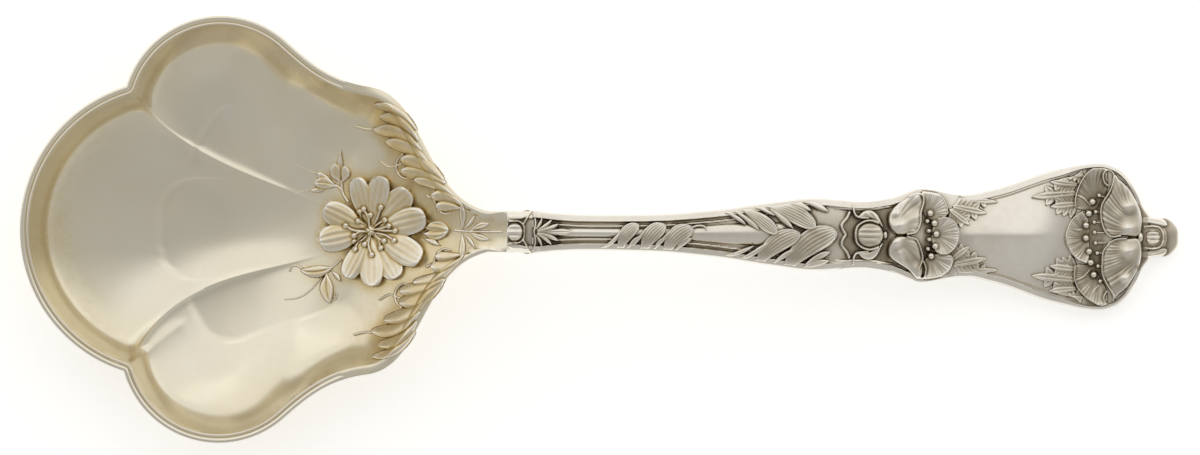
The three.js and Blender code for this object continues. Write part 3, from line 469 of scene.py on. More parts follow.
class Raster:
    """A fine square raster over a carrier, on which ornament is modelled as heights."""

    def __init__(self, x_range, y_reach, step):
        self.step = step
        self.x = np.arange(x_range[0], x_range[1] + step, step)
        self.y = np.arange(-y_reach, y_reach + step, step)
        self.shape = (len(self.x), len(self.y))

    def sample(self, values, x, y):
        """Values of the raster at points between its nodes."""
        i = np.clip((x - self.x[0]) / self.step, 0, len(self.x) - 1.001)
        j = np.clip((y - self.y[0]) / self.step, 0, len(self.y) - 1.001)
        a, b = i.astype(int), j.astype(int)
        s, t = i - a, j - b
        low = values[a, b] * (1 - s) + values[a + 1, b] * s
        high = values[a, b + 1] * (1 - s) + values[a + 1, b + 1] * s
        return low * (1 - t) + high * t

    def blurred(self, values, radius):
        """Values averaged over a square of that radius, twice, so that corners are soft."""
        size = max(int(round(radius / self.step)), 1)
        for axis in (0, 1, 0, 1):
            pad = [(0, 0), (0, 0)]
            pad[axis] = (size + 1, size)
            total = np.cumsum(np.pad(values, pad, mode="edge"), axis=axis)
            ahead = np.take(total, range(2 * size + 1, total.shape[axis]), axis=axis)
            behind = np.take(total, range(total.shape[axis] - 2 * size - 1), axis=axis)
            values = (ahead - behind) / (2 * size + 1)
        return values


class Motif:
    """One piece of ornament: heights over the carrier's ground, below it where the motif isn't."""

    def __init__(self, raster):
        self.raster = raster
        self.height = np.full(raster.shape, HIDDEN)

    def window(self, points, margin):
        """The part of the raster around some points."""
        raster = self.raster
        low = np.min(points, axis=0) - margin
        high = np.max(points, axis=0) + margin
        i = np.searchsorted(raster.x, (low[0], high[0]))
        j = np.searchsorted(raster.y, (low[1], high[1]))
        spot = (slice(*i), slice(*j))
        x, y = np.meshgrid(raster.x[spot[0]], raster.y[spot[1]], indexing="ij")
        return spot, x, y

    def lay(self, spot, height):
        """Joins heights to the motif: the higher surface shows."""
        self.height[spot] = np.maximum(self.height[spot], np.maximum(height, HIDDEN))

    def lay_rounded(self, spot, within, edge, body):
        """Lays a body whose edge is rounded over that width; within is the distance inside its outline."""
        corner = np.clip(within / edge, 0, 1)
        form = np.sqrt(1 - (1 - corner) ** 2) * body
        self.lay(spot, np.where(within > 0, form, EDGE_FALL * within))

    def leaf(self, root, tip, width, height, bend=0.0, base=0.0, full=0.6, point=0.0, edge=0.24,
             veins=0, depth=0.03, rim=0.0, rise=0.3, rib=0.0):
        """A leaf or a petal's lobe from its root to its tip.

        Its base is the share of its width that it has at the root, full is where it is broadest, and point
        draws its round tip out to a sharp one.
        """
        root, tip = np.array(root, float), np.array(tip, float)
        length = np.hypot(*(tip - root))
        along = (tip - root) / length
        spot, x, y = self.window([root, tip], width / 2 + abs(bend) + 0.5)
        dx, dy = x - root[0], y - root[1]
        s = (dx * along[0] + dy * along[1]) / length
        c = np.clip(s, 0, 1)
        t = dy * along[0] - dx * along[1] - bend * 4 * c * (1 - c)
        swell = lerp(base, 1, np.sin(math.pi / 2 * np.clip(c / full, 0, 1)))
        close = np.clip((c - full) / (1 - full), 0, 1)
        half = width / 2 * swell * (1 - close ** lerp(2, 1.4, point)) ** lerp(0.5, 1, point)
        within = half - np.abs(t) - length * np.abs(s - c)
        across = np.clip(t / np.maximum(half, 0.05), -1, 1)
        body = height * lerp(1, c, rise) * (1 - 0.15 * across ** 2)
        lined = smoothstep(c, 0.1, 0.45) * smoothstep(within, 0.16, 0.36) * (veins > 0)
        body = body + depth * np.cos(2 * math.pi * veins * across) * lined
        body = body - rib * np.exp(-(t / 0.09) ** 2)
        body = body + rim * np.exp(-((within - 0.12) / 0.09) ** 2) * smoothstep(c, 0.3, 0.7)
        self.lay_rounded(spot, within, np.clip(half, 0.05, edge), body)

    def cut_leaf(self, root, tip, width, height, pairs=3):
        """A cut leaf: pointed leaflets in pairs along a rib, and a longer one at its end."""
        root, tip = np.array(root, float), np.array(tip, float)
        way = math.atan2(*(tip - root)[::-1])
        for i in range(pairs):
            share = i / pairs
            place = lerp(root, tip, 0.04 + 0.62 * share)
            for side in (1, -1):
                end = place + heading(way + side * lerp(1.1, 0.6, share), width * lerp(1.0, 0.72, share))
                self.leaf(
                    place, end, width * 0.56, height * lerp(0.7, 0.9, share), bend=-0.1 * side, base=0.7,
                    full=0.5, point=0.3, edge=0.3, rim=0.07, rib=0.05,
                )
        self.leaf(
            root, tip, width * 0.55, height, base=0.7, full=0.55, point=0.3, edge=0.3, rim=0.06, rib=0.08,
        )

    def stroke(self, points, width, height, level=0.0, taper=0.0):
        """A half-round line along a smooth path, thinner towards its end by its taper."""
        path = spline(points)
        spot, x, y = self.window(path, width + 0.4)
        distance, share = distance_to(path, x, y)
        half = width / 2 * (1 - taper * share)
        within = half - distance
        form = level + height * half_round(distance, 0, half) * (1 - taper * 0.5 * share)
        self.lay(spot, np.where(within > 0, form, level + EDGE_FALL * within))

    def petal(self, points, height, pivot, lines=0, depth=0.03, edge=0.35, lift=0.35, bulges=()):
        """A broad petal inside a smooth closed outline.

        Fine uneven lines run away from its pivot, it lifts towards its lip, and bulges swell it or sink it.
        """
        path = spline(points, closed=True)
        spot, x, y = self.window(path, 0.5)
        distance = distance_to(np.concatenate([path, path[:1]]), x, y)[0]
        within = np.where(inside(path, x, y), distance, -distance)
        reach = np.hypot(x - pivot[0], y - pivot[1])
        angle = np.arctan2(y - pivot[1], x - pivot[0])
        far = np.hypot(path[:, 0] - pivot[0], path[:, 1] - pivot[1]).max()
        out = np.clip(reach / far, 0, 1)
        body = height * lerp(1, out ** 1.5, lift)
        uneven = lines * (angle + 0.05 * reach) + 2.5 * np.sin(5 * angle + 1)
        folds = np.cos(uneven) * (0.6 + 0.4 * np.sin(0.23 * uneven)) + 0.7 * np.cos(0.31 * uneven + 1)
        body = body + depth * folds * smoothstep(out, 0.25, 0.6)
        for bx, by, size, swell in bulges:
            body = body + swell * np.exp(-((x - bx) ** 2 + (y - by) ** 2) / size ** 2)
        self.lay_rounded(spot, within, edge, body)

    def dome(self, centre, radii, height, ribs=0, depth=0.05, level=0.0):
        """A domed bud or bead, with ribs along the handle."""
        spot, x, y = self.window([centre], max(radii) + 0.4)
        u, v = (x - centre[0]) / radii[0], (y - centre[1]) / radii[1]
        q = np.hypot(u, v)
        form = level + height * half_round(q, 0, 1)
        form = form + depth * np.cos(2 * math.pi * ribs * v) * (q < 1) * (ribs > 0) * (1 - q ** 4)
        self.lay(spot, np.where(q < 1, form, level - EDGE_FALL * (q - 1) * min(radii)))

    def bead(self, centre, radius, level=0.0):
        """A round bead."""
        self.dome(centre, (radius, radius), radius, level=level)

    def back_petals(self, petals, lips, height, lines, lip_width):
        """Petals behind a poppy's stamens, from their outlines and pivots, with a fine lip along each."""
        for outline, pivot in petals:
            self.petal(outline, height, pivot, lines=lines, edge=0.2, lift=0.85)
        for lip in lips:
            self.stroke(lip, lip_width, height * 1.15)

    def front_petals(self, petals, height, lip_width, lip_height, **make):
        """Petals in front of a poppy's stamens, each with its bulges and a curled lip."""
        for outline, pivot, bulges, lip in petals:
            self.petal(outline, height, pivot, edge=0.3, bulges=bulges, **make)
            self.stroke(lip, lip_width, lip_height)


def beside(points, side):
    """Points as they are where side is 1, and turned over the spoon's middle line where it is -1."""
    return [(x, y * side) for x, y in points]


def hoop(points):
    """A path to the spoon's middle line, and back on its other side."""
    return points + beside(points[-2::-1], -1)


def rose_motifs(raster, petal_height):
    """The open rose at the neck end of the bowl, and its stamens."""
    rose = Motif(raster)
    for degrees, length, width, share in (
        (174, 4.4, 3.6, 0.5), (92, 4.2, 3.0, 0.5), (31, 4.2, 3.0, 0.45), (-44, 4.2, 3.0, 0.45),
        (-102, 4.2, 3.0, 0.5),
    ):
        way = math.radians(degrees)
        rose.leaf(FLOWER, FLOWER + heading(way, length), width, petal_height * share, full=0.72, rise=0.6)
    for degrees, length, width, share in (
        (46, 5.75, 2.9, 0.66), (-60, 5.6, 2.7, 0.66), (155, 5.4, 2.8, 0.95), (192, 5.45, 3.0, 1.0),
        (106, 5.7, 2.3, 0.95), (79, 5.75, 2.5, 1.0), (-88, 5.75, 2.65, 1.0), (-117, 5.5, 2.35, 1.0),
        (14, 5.95, 3.0, 1.15), (-29, 6.05, 3.1, 1.15),
    ):
        way = math.radians(degrees)
        rose.leaf(
            FLOWER + heading(way, 0.3), FLOWER + heading(way, length), width, petal_height * share, full=0.66,
            point=-0.4, edge=0.42, veins=2.2, depth=0.013, rim=0.12, rise=0.6,
        )
    stamens = Motif(raster)
    count = 17
    for i in range(count):
        way = 2 * math.pi * i / count + 0.12 * math.sin(5.1 * i)
        reach = 2.1 + 0.55 * math.sin(2.4 * i + 1)
        bent = FLOWER + heading(way + 0.2 * math.sin(3.3 * i), reach * 0.6)
        head = FLOWER + heading(way, reach)
        stamens.stroke([FLOWER + heading(way, 0.3), bent, head], 0.3, 0.26)
        stamens.bead(head, 0.34)
    stamens.dome(FLOWER, (0.6, 0.6), 0.6)
    stamens.height = np.maximum(rose.height, 0) + stamens.height
    return {"bowl_rose": rose, "rose_stamens": stamens}


def sprig_motifs(raster, leaf_height):
    """The bud sprigs beside the rose and the bud between the rose and the neck."""
    upper = Motif(raster)
    upper.stroke([(13.4, 3.0), (12.85, 3.9), (12.7, 5.2)], 0.36, 0.26)
    upper.stroke([(12.85, 4.0), (12.3, 4.6), (11.2, 5.0)], 0.34, 0.24)
    upper.stroke([(10.4, 5.8), (9.2, 6.2), (7.9, 6.75)], 0.16, 0.14, taper=0.5)
    upper.stroke([(9.6, 4.2), (8.4, 4.0), (7.0, 4.3)], 0.14, 0.12, taper=0.5)
    upper.leaf((12.65, 4.9), (12.0, 6.9), 1.25, leaf_height, bend=0.2, full=0.6)
    upper.leaf((12.75, 4.9), (13.05, 6.7), 1.1, leaf_height, bend=-0.2, full=0.6)
    upper.leaf((12.5, 5.6), (12.6, 8.3), 0.75, leaf_height * 0.8, full=0.4, point=0.7)
    upper.leaf((12.3, 4.5), (9.9, 4.9), 1.4, leaf_height, bend=-0.2, full=0.6, rib=0.05)
    upper.leaf((12.0, 4.9), (10.2, 5.9), 1.0, leaf_height * 0.9, bend=0.12, full=0.6)
    upper.leaf((11.3, 4.6), (9.5, 4.1), 0.7, leaf_height * 0.7, bend=0.12, full=0.5, point=0.3)
    lower = Motif(raster)
    tendril = [(12.7, -3.0), (11.9, -3.8), (10.9, -4.7), (9.6, -6.2), (8.4, -7.0), (6.9, -7.25)]
    lower.stroke(tendril, 0.28, 0.2, taper=0.5)
    lower.leaf((12.0, -3.8), (8.5, -4.2), 1.35, leaf_height, bend=0.3, full=0.5, point=0.3, rib=0.08)
    lower.stroke([(8.9, -4.1), (8.2, -3.7), (7.6, -3.75), (7.4, -4.25)], 0.32, 0.24, taper=0.3)
    lower.leaf((11.3, -4.4), (11.6, -7.6), 1.5, leaf_height, bend=-0.2, full=0.5, point=0.3, rib=0.08)
    lower.stroke([(11.6, -7.3), (12.2, -7.1), (12.3, -6.5)], 0.26, 0.22, taper=0.3)
    lower.leaf((11.7, -4.2), (12.7, -5.3), 0.6, leaf_height * 0.7, bend=0.12, point=0.4)
    bud = Motif(raster)
    bud.leaf((21.2, 0.35), (24.0, 0.1), 1.25, leaf_height * 1.05, bend=0.25, full=0.5, point=0.3, veins=1)
    bud.leaf((21.2, -0.2), (24.0, 0.0), 1.25, leaf_height, bend=-0.25, full=0.5, point=0.3, veins=1)
    bud.stroke([(22.6, 0.95), (23.4, 0.8), (23.9, 0.2), (23.5, -0.5)], 0.2, 0.55)
    bud.leaf((21.3, -0.8), (23.0, -1.45), 0.7, leaf_height * 0.9, bend=0.12, point=0.4)
    return {"upper_rose_sprig": upper, "lower_rose_sprig": lower, "rose_bud": bud}


def plume_motif(raster, side, leaf_height):
    """The plume along one shoulder: smooth strands that leave the edge band and round off inward."""
    plume = Motif(raster)
    strand = {"base": 0.3, "full": 0.7, "edge": 0.7, "rim": 0.04, "rise": 0.4}
    for root, tip, width, bend in (
        ((20.5, 10.5), (16.1, 13.0), 1.0, 0.6), ((20.7, 9.4), (16.7, 11.85), 1.35, 0.65),
        ((21.0, 8.4), (16.0, 10.45), 1.45, 0.65), ((22.0, 6.7), (17.3, 9.25), 1.5, 0.55),
        ((23.3, 5.4), (18.9, 7.5), 1.7, 0.4), ((23.5, 5.0), (18.9, 6.25), 1.5, 0.2),
        ((24.4, 3.7), (20.3, 5.3), 1.2, 0.35), ((25.2, 2.8), (22.1, 3.7), 1.4, 0.3),
        ((25.2, 2.4), (22.6, 2.6), 1.2, 0.1),
    ):
        plume.leaf(*beside((root, tip), side), width, leaf_height, bend=-bend * side, **strand)
    for curl in (
        [(16.3, 10.55), (15.3, 10.5), (14.2, 10.78)], [(18.9, 6.9), (17.8, 6.6), (16.8, 7.15)],
        [(19.1, 7.9), (18.5, 7.2), (18.5, 6.2), (19.2, 5.45), (20.2, 5.6)],
        [(21.7, 3.65), (22.4, 3.2), (22.8, 2.2)], [(22.8, 2.2), (23.5, 1.8), (24.2, 1.9)],
    ):
        plume.stroke(beside(curl, side), 0.3, 0.26, taper=0.3)
    return plume


def neck_motif(raster, leaf_height):
    """The four-leaf sprig on the neck."""
    sprig = Motif(raster)
    low = leaf_height * 0.7
    for side in (1, -1):
        for root, tip, width, bend, rib in (
            ((25.35, 0.1), (25.2, 3.0), 0.75, -0.15, 0.06), ((26.2, 0.1), (28.2, 0.8), 0.75, 0.12, 0.06),
            ((25.5, 0.2), (26.7, 1.7), 0.5, -0.1, 0.0),
        ):
            sprig.leaf(*beside((root, tip), side), width, low, bend=bend * side, point=0.5, rib=rib)
    sprig.stroke([(24.6, 0.1), (26.2, 0), (28, 0), (29.4, 0)], 0.28, 0.22)
    return sprig


def collar_motif(raster):
    """The bud between two leaves on the collar."""
    collar = Motif(raster)
    collar.dome((30.8, 0), (0.86, 1.0), 0.44, ribs=1.6, depth=0.07)
    collar.stroke(hoop([(30.2, 1.1), (31.2, 1.1), (31.7, 0.7), (31.8, 0)]), 0.24, 0.36)
    for side in (1, -1):
        leaf = beside([(30.0, 1.3), (32.2, 1.75)], side)
        collar.leaf(*leaf, 0.8, 0.36, bend=0.1 * side, base=0.5)
        collar.stroke(beside([(31.7, 0.85), (32.1, 1.5), (32.4, 2.1)], side), 0.26, 0.4)
    return collar


def stem_motifs(raster, leaf_height):
    """The palmette, the diagonal leaf and the two leaf sprays on the stem."""
    palmette = Motif(raster)
    palmette.leaf((32.9, 0), (36.9, 0.05), 0.8, leaf_height, full=0.7, point=0.4, rib=0.05)
    for side in (1, -1):
        for root, tip, width, share, bend in (
            ((33.0, 0.1), (35.3, 0.85), 0.6, 0.95, -0.12), ((32.95, 0.15), (34.6, 1.25), 0.5, 0.9, -0.12),
            ((32.9, 0.2), (33.6, 1.45), 0.42, 0.8, -0.1),
        ):
            palmette.leaf(*beside((root, tip), side), width, leaf_height * share, bend=bend * side)
        palmette.stroke(beside([(32.7, 1.95), (32.95, 1.0), (32.8, 0)], side), 0.24, 0.34)
    lobe = {"base": 0.4, "full": 0.64, "edge": 0.24, "veins": 3.5, "depth": 0.025, "rim": 0.11, "rise": 0.3}
    thin = {"base": 0.5, "full": 0.6, "point": 0.3, "edge": 0.18, "rise": 0.1}

    def spray(lobes, leaflets):
        """A spray of broad lined lobes with thin leaflets between them."""
        motif = Motif(raster)
        for root, tip, width, bend in lobes:
            motif.leaf(root, tip, width, leaf_height, bend=bend, **lobe)
        for root, tip, width, bend in leaflets:
            motif.leaf(root, tip, width, leaf_height * 0.85, bend=bend, **thin)
        return motif

    stem_leaf = spray(
        (((41.6, -1.72), (43.5, 0.95), 1.6, 0.35), ((44.0, -1.78), (46.25, 0.92), 1.9, 0.35),
         ((46.3, -1.82), (49.1, 0.65), 2.0, 0.4)),
        (((39.7, -1.6), (41.75, 0.28), 0.5, -0.3), ((42.9, -1.3), (44.3, 0.52), 0.5, -0.1),
         ((45.3, -1.3), (47.0, 0.45), 0.55, -0.1), ((42.5, -1.5), (43.8, -0.3), 0.55, 0.1),
         ((45.2, -1.6), (46.4, -0.4), 0.6, 0.1), ((47.4, -1.7), (49.1, -0.45), 0.6, 0.1)),
    )
    stem_leaf.stroke([(48.9, 0.55), (49.6, 0.8), (50.3, 0.75), (50.55, 0.35)], 0.26, 0.32)
    upper = spray(
        (((54.4, 2.55), (57.85, 0.05), 1.6, 0.12), ((56.9, 3.05), (61.85, 0.75), 1.95, 0.25)),
        (((52.5, 2.25), (54.65, 0.95), 0.5, 0.12), ((53.4, 2.4), (56.1, 0.3), 0.6, 0.12),
         ((57.2, 2.5), (59.55, 0.55), 0.65, 0.1), ((58.6, 3.45), (61.4, 2.45), 0.75, 0.12),
         ((60.4, 3.5), (63.2, 2.35), 0.65, 0.12), ((55.3, 2.9), (57.6, 1.9), 0.5, 0.1)),
    )
    lower = spray(
        (((55.9, -2.9), (60.2, 0.15), 2.2, 0.5), ((58.9, -3.3), (64.0, 0.4), 2.75, 0.6)),
        (((52.5, -2.3), (55.5, -1.2), 0.5, -0.15), ((54.0, -2.65), (57.3, -0.7), 0.65, -0.15),
         ((58.4, -2.5), (61.1, -0.05), 0.75, -0.1), ((60.9, -3.1), (63.4, -1.75), 0.75, 0.1),
         ((60.6, -3.5), (63.3, -2.7), 0.7, 0.1), ((57.6, -2.9), (59.9, -1.5), 0.6, 0.1)),
    )
    return {
        "palmette": palmette, "stem_leaf": stem_leaf, "upper_stem_spray": upper, "lower_stem_spray": lower,
    }


def bracket_motifs(raster):
    """The scrolled bracket line, and the capsule between its sepals."""
    bracket = Motif(raster)
    capsule = Motif(raster)
    arm = [(65.35, 2.3), (65.1, 1.75), (64.6, 1.1), (64.65, 0.55), (64.98, 0.04)]
    sepal = [(66.2, 1.75), (66.7, 2.4), (67.5, 2.6), (68.3, 2.1), (68.9, 0.8), (68.3, 1.2), (67.4, 1.7)]
    curl = [(65.75, 3.05), (65.85, 2.3), (66.25, 1.85), (67.3, 1.75)]
    for side in (1, -1):
        bracket.stroke(beside(arm, side), 0.34, 0.34)
        capsule.petal(beside(sepal, side), 0.48, (68.9, 0.8 * side), lines=14, edge=0.3)
        capsule.stroke(beside(curl, side), 0.3, 0.42)
    capsule.dome((67.5, 0), (1.4, 1.32), 0.52, ribs=2.4, depth=0.04, level=0.1)
    capsule.stroke(hoop([(68.4, 1.25), (67.5, 1.5), (66.7, 1.3), (66.15, 0.8), (66.0, 0)]), 0.3, 0.55)
    capsule.dome((69.12, 0), (0.24, 0.42), 0.36)
    return {"bracket": bracket, "poppy_capsule": capsule}


def lower_poppy_motif(raster, petal_height):
    """The poppy in side view on the knop: back petals, stamens and two front petals with curled lips."""
    poppy = Motif(raster)
    backs = (
        ([(72.9, 4.6), (73.75, 4.7), (74.7, 4.25), (75.4, 3.4), (75.65, 2.3), (75.0, 1.7), (73.9, 1.6),
          (72.9, 2.6)], (73.4, 2.0)),
        ([(74.3, 1.6), (75.4, 1.9), (76.35, 1.4), (76.8, 0.2), (76.5, -1.05), (75.7, -1.85), (74.7, -1.95),
          (74.1, -1.3), (73.9, 0)], (74.2, 0)),
        ([(73.2, -4.5), (74.6, -4.45), (75.75, -3.65), (76.2, -2.6), (75.9, -1.95), (74.8, -1.9),
          (73.9, -2.0), (73.1, -2.8)], (73.7, -2.2)),
    )
    lips = (
        [(74.6, 1.7), (75.4, 1.85), (76.3, 1.4), (76.75, 0.2), (76.45, -1.05), (75.7, -1.8), (74.8, -1.9)],
        [(73.0, 4.5), (73.75, 4.6), (74.7, 4.15), (75.35, 3.35), (75.6, 2.3)],
        [(73.6, -4.4), (74.6, -4.35), (75.7, -3.6), (76.15, -2.6), (75.95, -2.1)],
    )
    poppy.back_petals(backs, lips, petal_height * 0.75, 44, 0.2)
    upper = [(69.5, 0.9), (69.4, 1.9), (69.7, 2.6), (70.4, 3.3), (71.4, 3.95), (72.3, 4.45), (72.75, 4.3),
             (73.0, 3.5), (72.8, 2.4), (72.7, 1.2), (72.3, 0.3), (71.3, 0.04), (70.2, 0.08)]
    upper_lip = [(71.5, 3.95), (72.35, 4.35), (72.95, 4.1), (73.05, 3.4), (72.8, 2.4), (72.75, 1.3),
                 (72.3, 0.35), (71.4, 0.1)]
    upper_bulges = ((70.65, 1.0, 0.8, 0.5), (70.2, 2.3, 0.5, 0.25), (72.1, 2.9, 0.7, -0.16))
    lower = [(69.55, -0.9), (69.4, -1.9), (69.8, -2.5), (70.5, -3.0), (71.5, -3.6), (72.4, -4.5),
             (72.95, -4.3), (73.1, -3.3), (72.95, -2.4), (72.75, -1.4), (72.3, -0.4), (71.3, -0.06),
             (70.2, -0.1)]
    lower_lip = [(71.4, -0.12), (72.35, -0.45), (72.8, -1.4), (73.0, -2.4), (72.65, -3.5), (72.65, -4.35),
                 (73.15, -4.4), (73.35, -3.5), (73.1, -2.7)]
    lower_bulges = ((70.2, -0.75, 0.6, 0.42), (70.6, -2.0, 0.7, 0.3), (72.1, -2.6, 0.7, -0.16))
    fronts = (
        (upper, (69.6, 0.4), upper_bulges, upper_lip),
        (lower, (69.6, -0.4), lower_bulges, lower_lip),
    )
    poppy.front_petals(
        fronts, petal_height * 0.8, 0.24, petal_height * 1.1, lines=30, depth=0.035, lift=0.2,
    )
    for place in ((73.75, 2.3), (74.2, 1.27), (74.4, 0.15), (74.3, -1.11), (73.88, -2.14)):
        poppy.bead(place, 0.32, level=0.4)
    for place in ((73.46, 1.48), (73.63, 0.48), (73.68, -0.42), (73.55, -1.4)):
        poppy.bead(place, 0.22, level=0.3)
    return poppy


def terminal_poppy_motif(raster, petal_height):
    """The large poppy in side view at the end of the handle."""
    poppy = Motif(raster)
    backs = (
        ([(92.2, 7.3), (91.4, 7.3), (90.5, 7.1), (89.8, 6.3), (89.2, 5.2), (88.85, 3.9), (88.9, 3.0),
          (89.7, 2.7), (90.8, 2.7), (91.7, 3.6), (92.3, 5.0)], (91.2, 3.4)),
        ([(89.6, 2.65), (88.75, 2.0), (88.2, 0.9), (87.95, -0.2), (88.3, -1.3), (89.1, -2.3), (90.2, -2.75),
          (90.5, -1.6), (90.4, 0), (90.4, 1.6)], (90.5, 0)),
        ([(90.2, -2.85), (89.0, -2.9), (88.83, -4.3), (89.3, -5.5), (90.25, -6.45), (91.4, -7.15),
          (92.3, -7.15), (92.3, -5.5), (91.6, -4.1), (90.9, -3.0)], (91.2, -3.6)),
    )
    lips = (
        [(89.7, 2.6), (88.8, 2.0), (88.22, 0.9), (88.0, -0.2), (88.35, -1.3), (89.1, -2.25), (90.1, -2.7)],
        [(91.8, 7.05), (91.3, 7.1), (90.55, 6.95), (89.85, 6.25), (89.25, 5.15), (88.92, 3.9), (88.95, 3.1)],
        [(88.95, -3.0), (88.9, -4.3), (89.35, -5.45), (90.3, -6.4), (91.4, -7.05)],
    )
    poppy.back_petals(backs, lips, petal_height * 0.75, 52, 0.22)
    for fold in (
        [(89.2, 4.3), (89.9, 3.9), (90.5, 3.2)], [(89.1, -4.5), (89.9, -4.1), (90.5, -3.4)],
        [(90.6, -6.3), (91.0, -5.5), (91.5, -5.0)], [(88.5, 0.9), (89.1, 0.7), (89.6, 0.75)],
    ):
        poppy.stroke(fold, 0.22, 0.14, level=0.24, taper=0.6)
    upper = [(92.6, 0.06), (91.95, 0.75), (91.6, 1.85), (91.65, 3.3), (92.3, 4.35), (92.65, 5.3), (92.8, 6.5),
             (93.3, 6.5), (94.2, 5.7), (95.0, 4.6), (95.6, 3.2), (95.9, 1.5), (95.5, 0.1), (94.0, 0.06)]
    upper_lip = [(93.6, 0.12), (92.6, 0.05), (91.95, 0.75), (91.6, 1.85), (91.65, 3.3), (92.35, 4.5),
                 (92.8, 5.6), (92.85, 6.6), (92.3, 7.0), (91.8, 6.5), (91.9, 5.7), (92.3, 5.3)]
    upper_bulges = ((94.4, 0.9, 0.75, 0.5), (94.4, 3.2, 0.55, 0.36), (93.4, 2.2, 0.7, 0.1))
    lower = [(92.8, -0.2), (91.9, -1.4), (91.7, -2.7), (91.75, -3.9), (92.35, -5.0), (92.75, -6.0),
             (93.1, -6.6), (93.6, -6.4), (94.3, -5.7), (95.0, -4.6), (95.6, -3.2), (95.9, -1.5), (95.5, -0.1),
             (94.0, -0.08)]
    lower_lip = [(94.2, -0.15), (92.9, -0.35), (91.9, -1.4), (91.74, -2.7), (91.78, -3.87), (92.34, -5.05),
                 (92.95, -6.1), (92.85, -6.95), (92.25, -7.0), (91.95, -6.3), (92.25, -5.6)]
    lower_bulges = ((94.4, -1.5, 0.8, 0.5), (94.1, -4.3, 0.5, 0.42), (93.2, -2.6, 0.6, 0.1))
    fronts = (
        (upper, (96.2, 0.8), upper_bulges, upper_lip),
        (lower, (96.2, -0.8), lower_bulges, lower_lip),
    )
    poppy.front_petals(
        fronts, petal_height * 0.75, 0.26, petal_height * 1.1, lines=64, depth=0.03, lift=0.1,
    )
    for x, y in (
        (91.4, 4.3), (91.05, 2.6), (90.9, 1.53), (90.95, 0.46), (91.05, -0.65), (91.23, -1.7), (91.33, -3.04),
        (91.57, -4.6),
    ):
        poppy.bead((x, y), 0.22, level=0.34)
        poppy.stroke([(x, y), (92.2, y * 0.95)], 0.15, 0.12, level=0.25)
    for place in (
        (90.7, 3.64), (90.33, 2.42), (90.05, 1.19), (90.05, -0.14), (90.39, -1.53), (90.58, -2.68),
        (90.9, -3.94),
    ):
        poppy.bead(place, 0.33, level=0.42)
    poppy.dome((95.7, 0), (0.28, 0.5), 0.42, level=0.2)
    return poppy


def side_leaf_motifs(raster, leaf_height):
    """The cut leaves at both ends of the cartouche."""
    leaves = {
        "knop_leaf": (
            ((75.9, 2.6), (77.9, 1.1), 1.4), ((76.3, 3.0), (79.7, 2.35), 1.6),
            ((77.2, 3.7), (80.9, 3.55), 1.2),
        ),
        "terminal_leaf": (
            ((89.1, 3.4), (86.3, 3.1), 1.6), ((88.9, 4.5), (84.4, 4.1), 1.8), ((89.0, 5.4), (86.2, 5.7), 1.5),
            ((89.8, 6.3), (87.9, 6.5), 1.0),
        ),
    }
    motifs = {}
    for name, side in (("upper", 1), ("lower", -1)):
        for place, sprig in leaves.items():
            motif = Motif(raster)
            for root, tip, width in sprig:
                motif.cut_leaf(*beside((root, tip), side), width, leaf_height)
            motifs[f"{name}_{place}"] = motif
    return motifs


def finial_motif(raster):
    """The ribbed bud in its calyx on the finial."""
    finial = Motif(raster)
    finial.dome((97.2, 0), (1.3, 1.55), 0.3)
    finial.dome((97.0, 0), (0.88, 0.92), 0.62, ribs=2.0, depth=0.1)
    finial.stroke(hoop([(96.2, 1.1), (97.1, 1.14), (97.8, 0.9), (98.08, 0)]), 0.28, 0.52)
    for side in (1, -1):
        sepal = beside([(96.0, 1.8), (98.5, 1.3)], side)
        finial.leaf(*sepal, 0.95, 0.38, bend=0.2 * side, base=0.6, edge=0.36, rib=0.1)
    return finial


@functools.cache
def bowl_ornament(step, petal_height, leaf_height):
    """The raster over the bowl's neck end and its motifs by node."""
    raster = Raster((4.0, 30.4), 15.2, step)
    motifs = rose_motifs(raster, petal_height)
    motifs.update(sprig_motifs(raster, leaf_height))
    motifs["upper_shoulder_plume"] = plume_motif(raster, 1, leaf_height)
    motifs["lower_shoulder_plume"] = plume_motif(raster, -1, leaf_height)
    motifs["neck_sprig"] = neck_motif(raster, leaf_height)
    return raster, motifs


@functools.cache
def handle_ornament(step, petal_height, leaf_height):
    """The raster over the collar, the handle and the finial, and its motifs by node."""
    raster = Raster((29.9, 99.8), 8.0, step)
    motifs = stem_motifs(raster, leaf_height)
    motifs.update(bracket_motifs(raster))
    motifs["lower_poppy"] = lower_poppy_motif(raster, petal_height)
    motifs["terminal_poppy"] = terminal_poppy_motif(raster, petal_height)
    motifs.update(side_leaf_motifs(raster, leaf_height))
    cap = HandleForm().ornament_cap(*np.meshgrid(raster.x, raster.y, indexing="ij"))
    for motif in motifs.values():
        motif.height = np.maximum(np.minimum(motif.height, cap), HIDDEN)
    motifs["collar"] = collar_motif(raster)
    motifs["finial"] = finial_motif(raster)
    return raster, motifs


def hollows(raster, motifs, ground, radius, depth):
    """How far each place lies below what is around it, as a share of a depth; heights come out below 0."""
    height = np.maximum.reduce([ground, *(motif.height for motif in motifs.values())])
    return np.clip((raster.blurred(height, radius) - height) / depth, -1, 1)


@functools.cache
def bowl_patina(step, petal_height, leaf_height):
    """Patina over the bowl's ornament raster: for the relief, and for the ground round it, which carries
    painted shade at the relief's foot.
    """
    raster, motifs = bowl_ornament(step, petal_height, leaf_height)
    ground = np.zeros(raster.shape)
    fine = hollows(raster, motifs, ground, 0.16, 0.12)
    broad = hollows(raster, motifs, ground, 0.7, 0.4)
    # The ground's share darkens the gilt at the foot of the relief: partly gilt stain, partly painted shade
    return 0.42 + 0.58 * fine + 0.1 * broad, 0.64 * np.maximum(broad, 0)


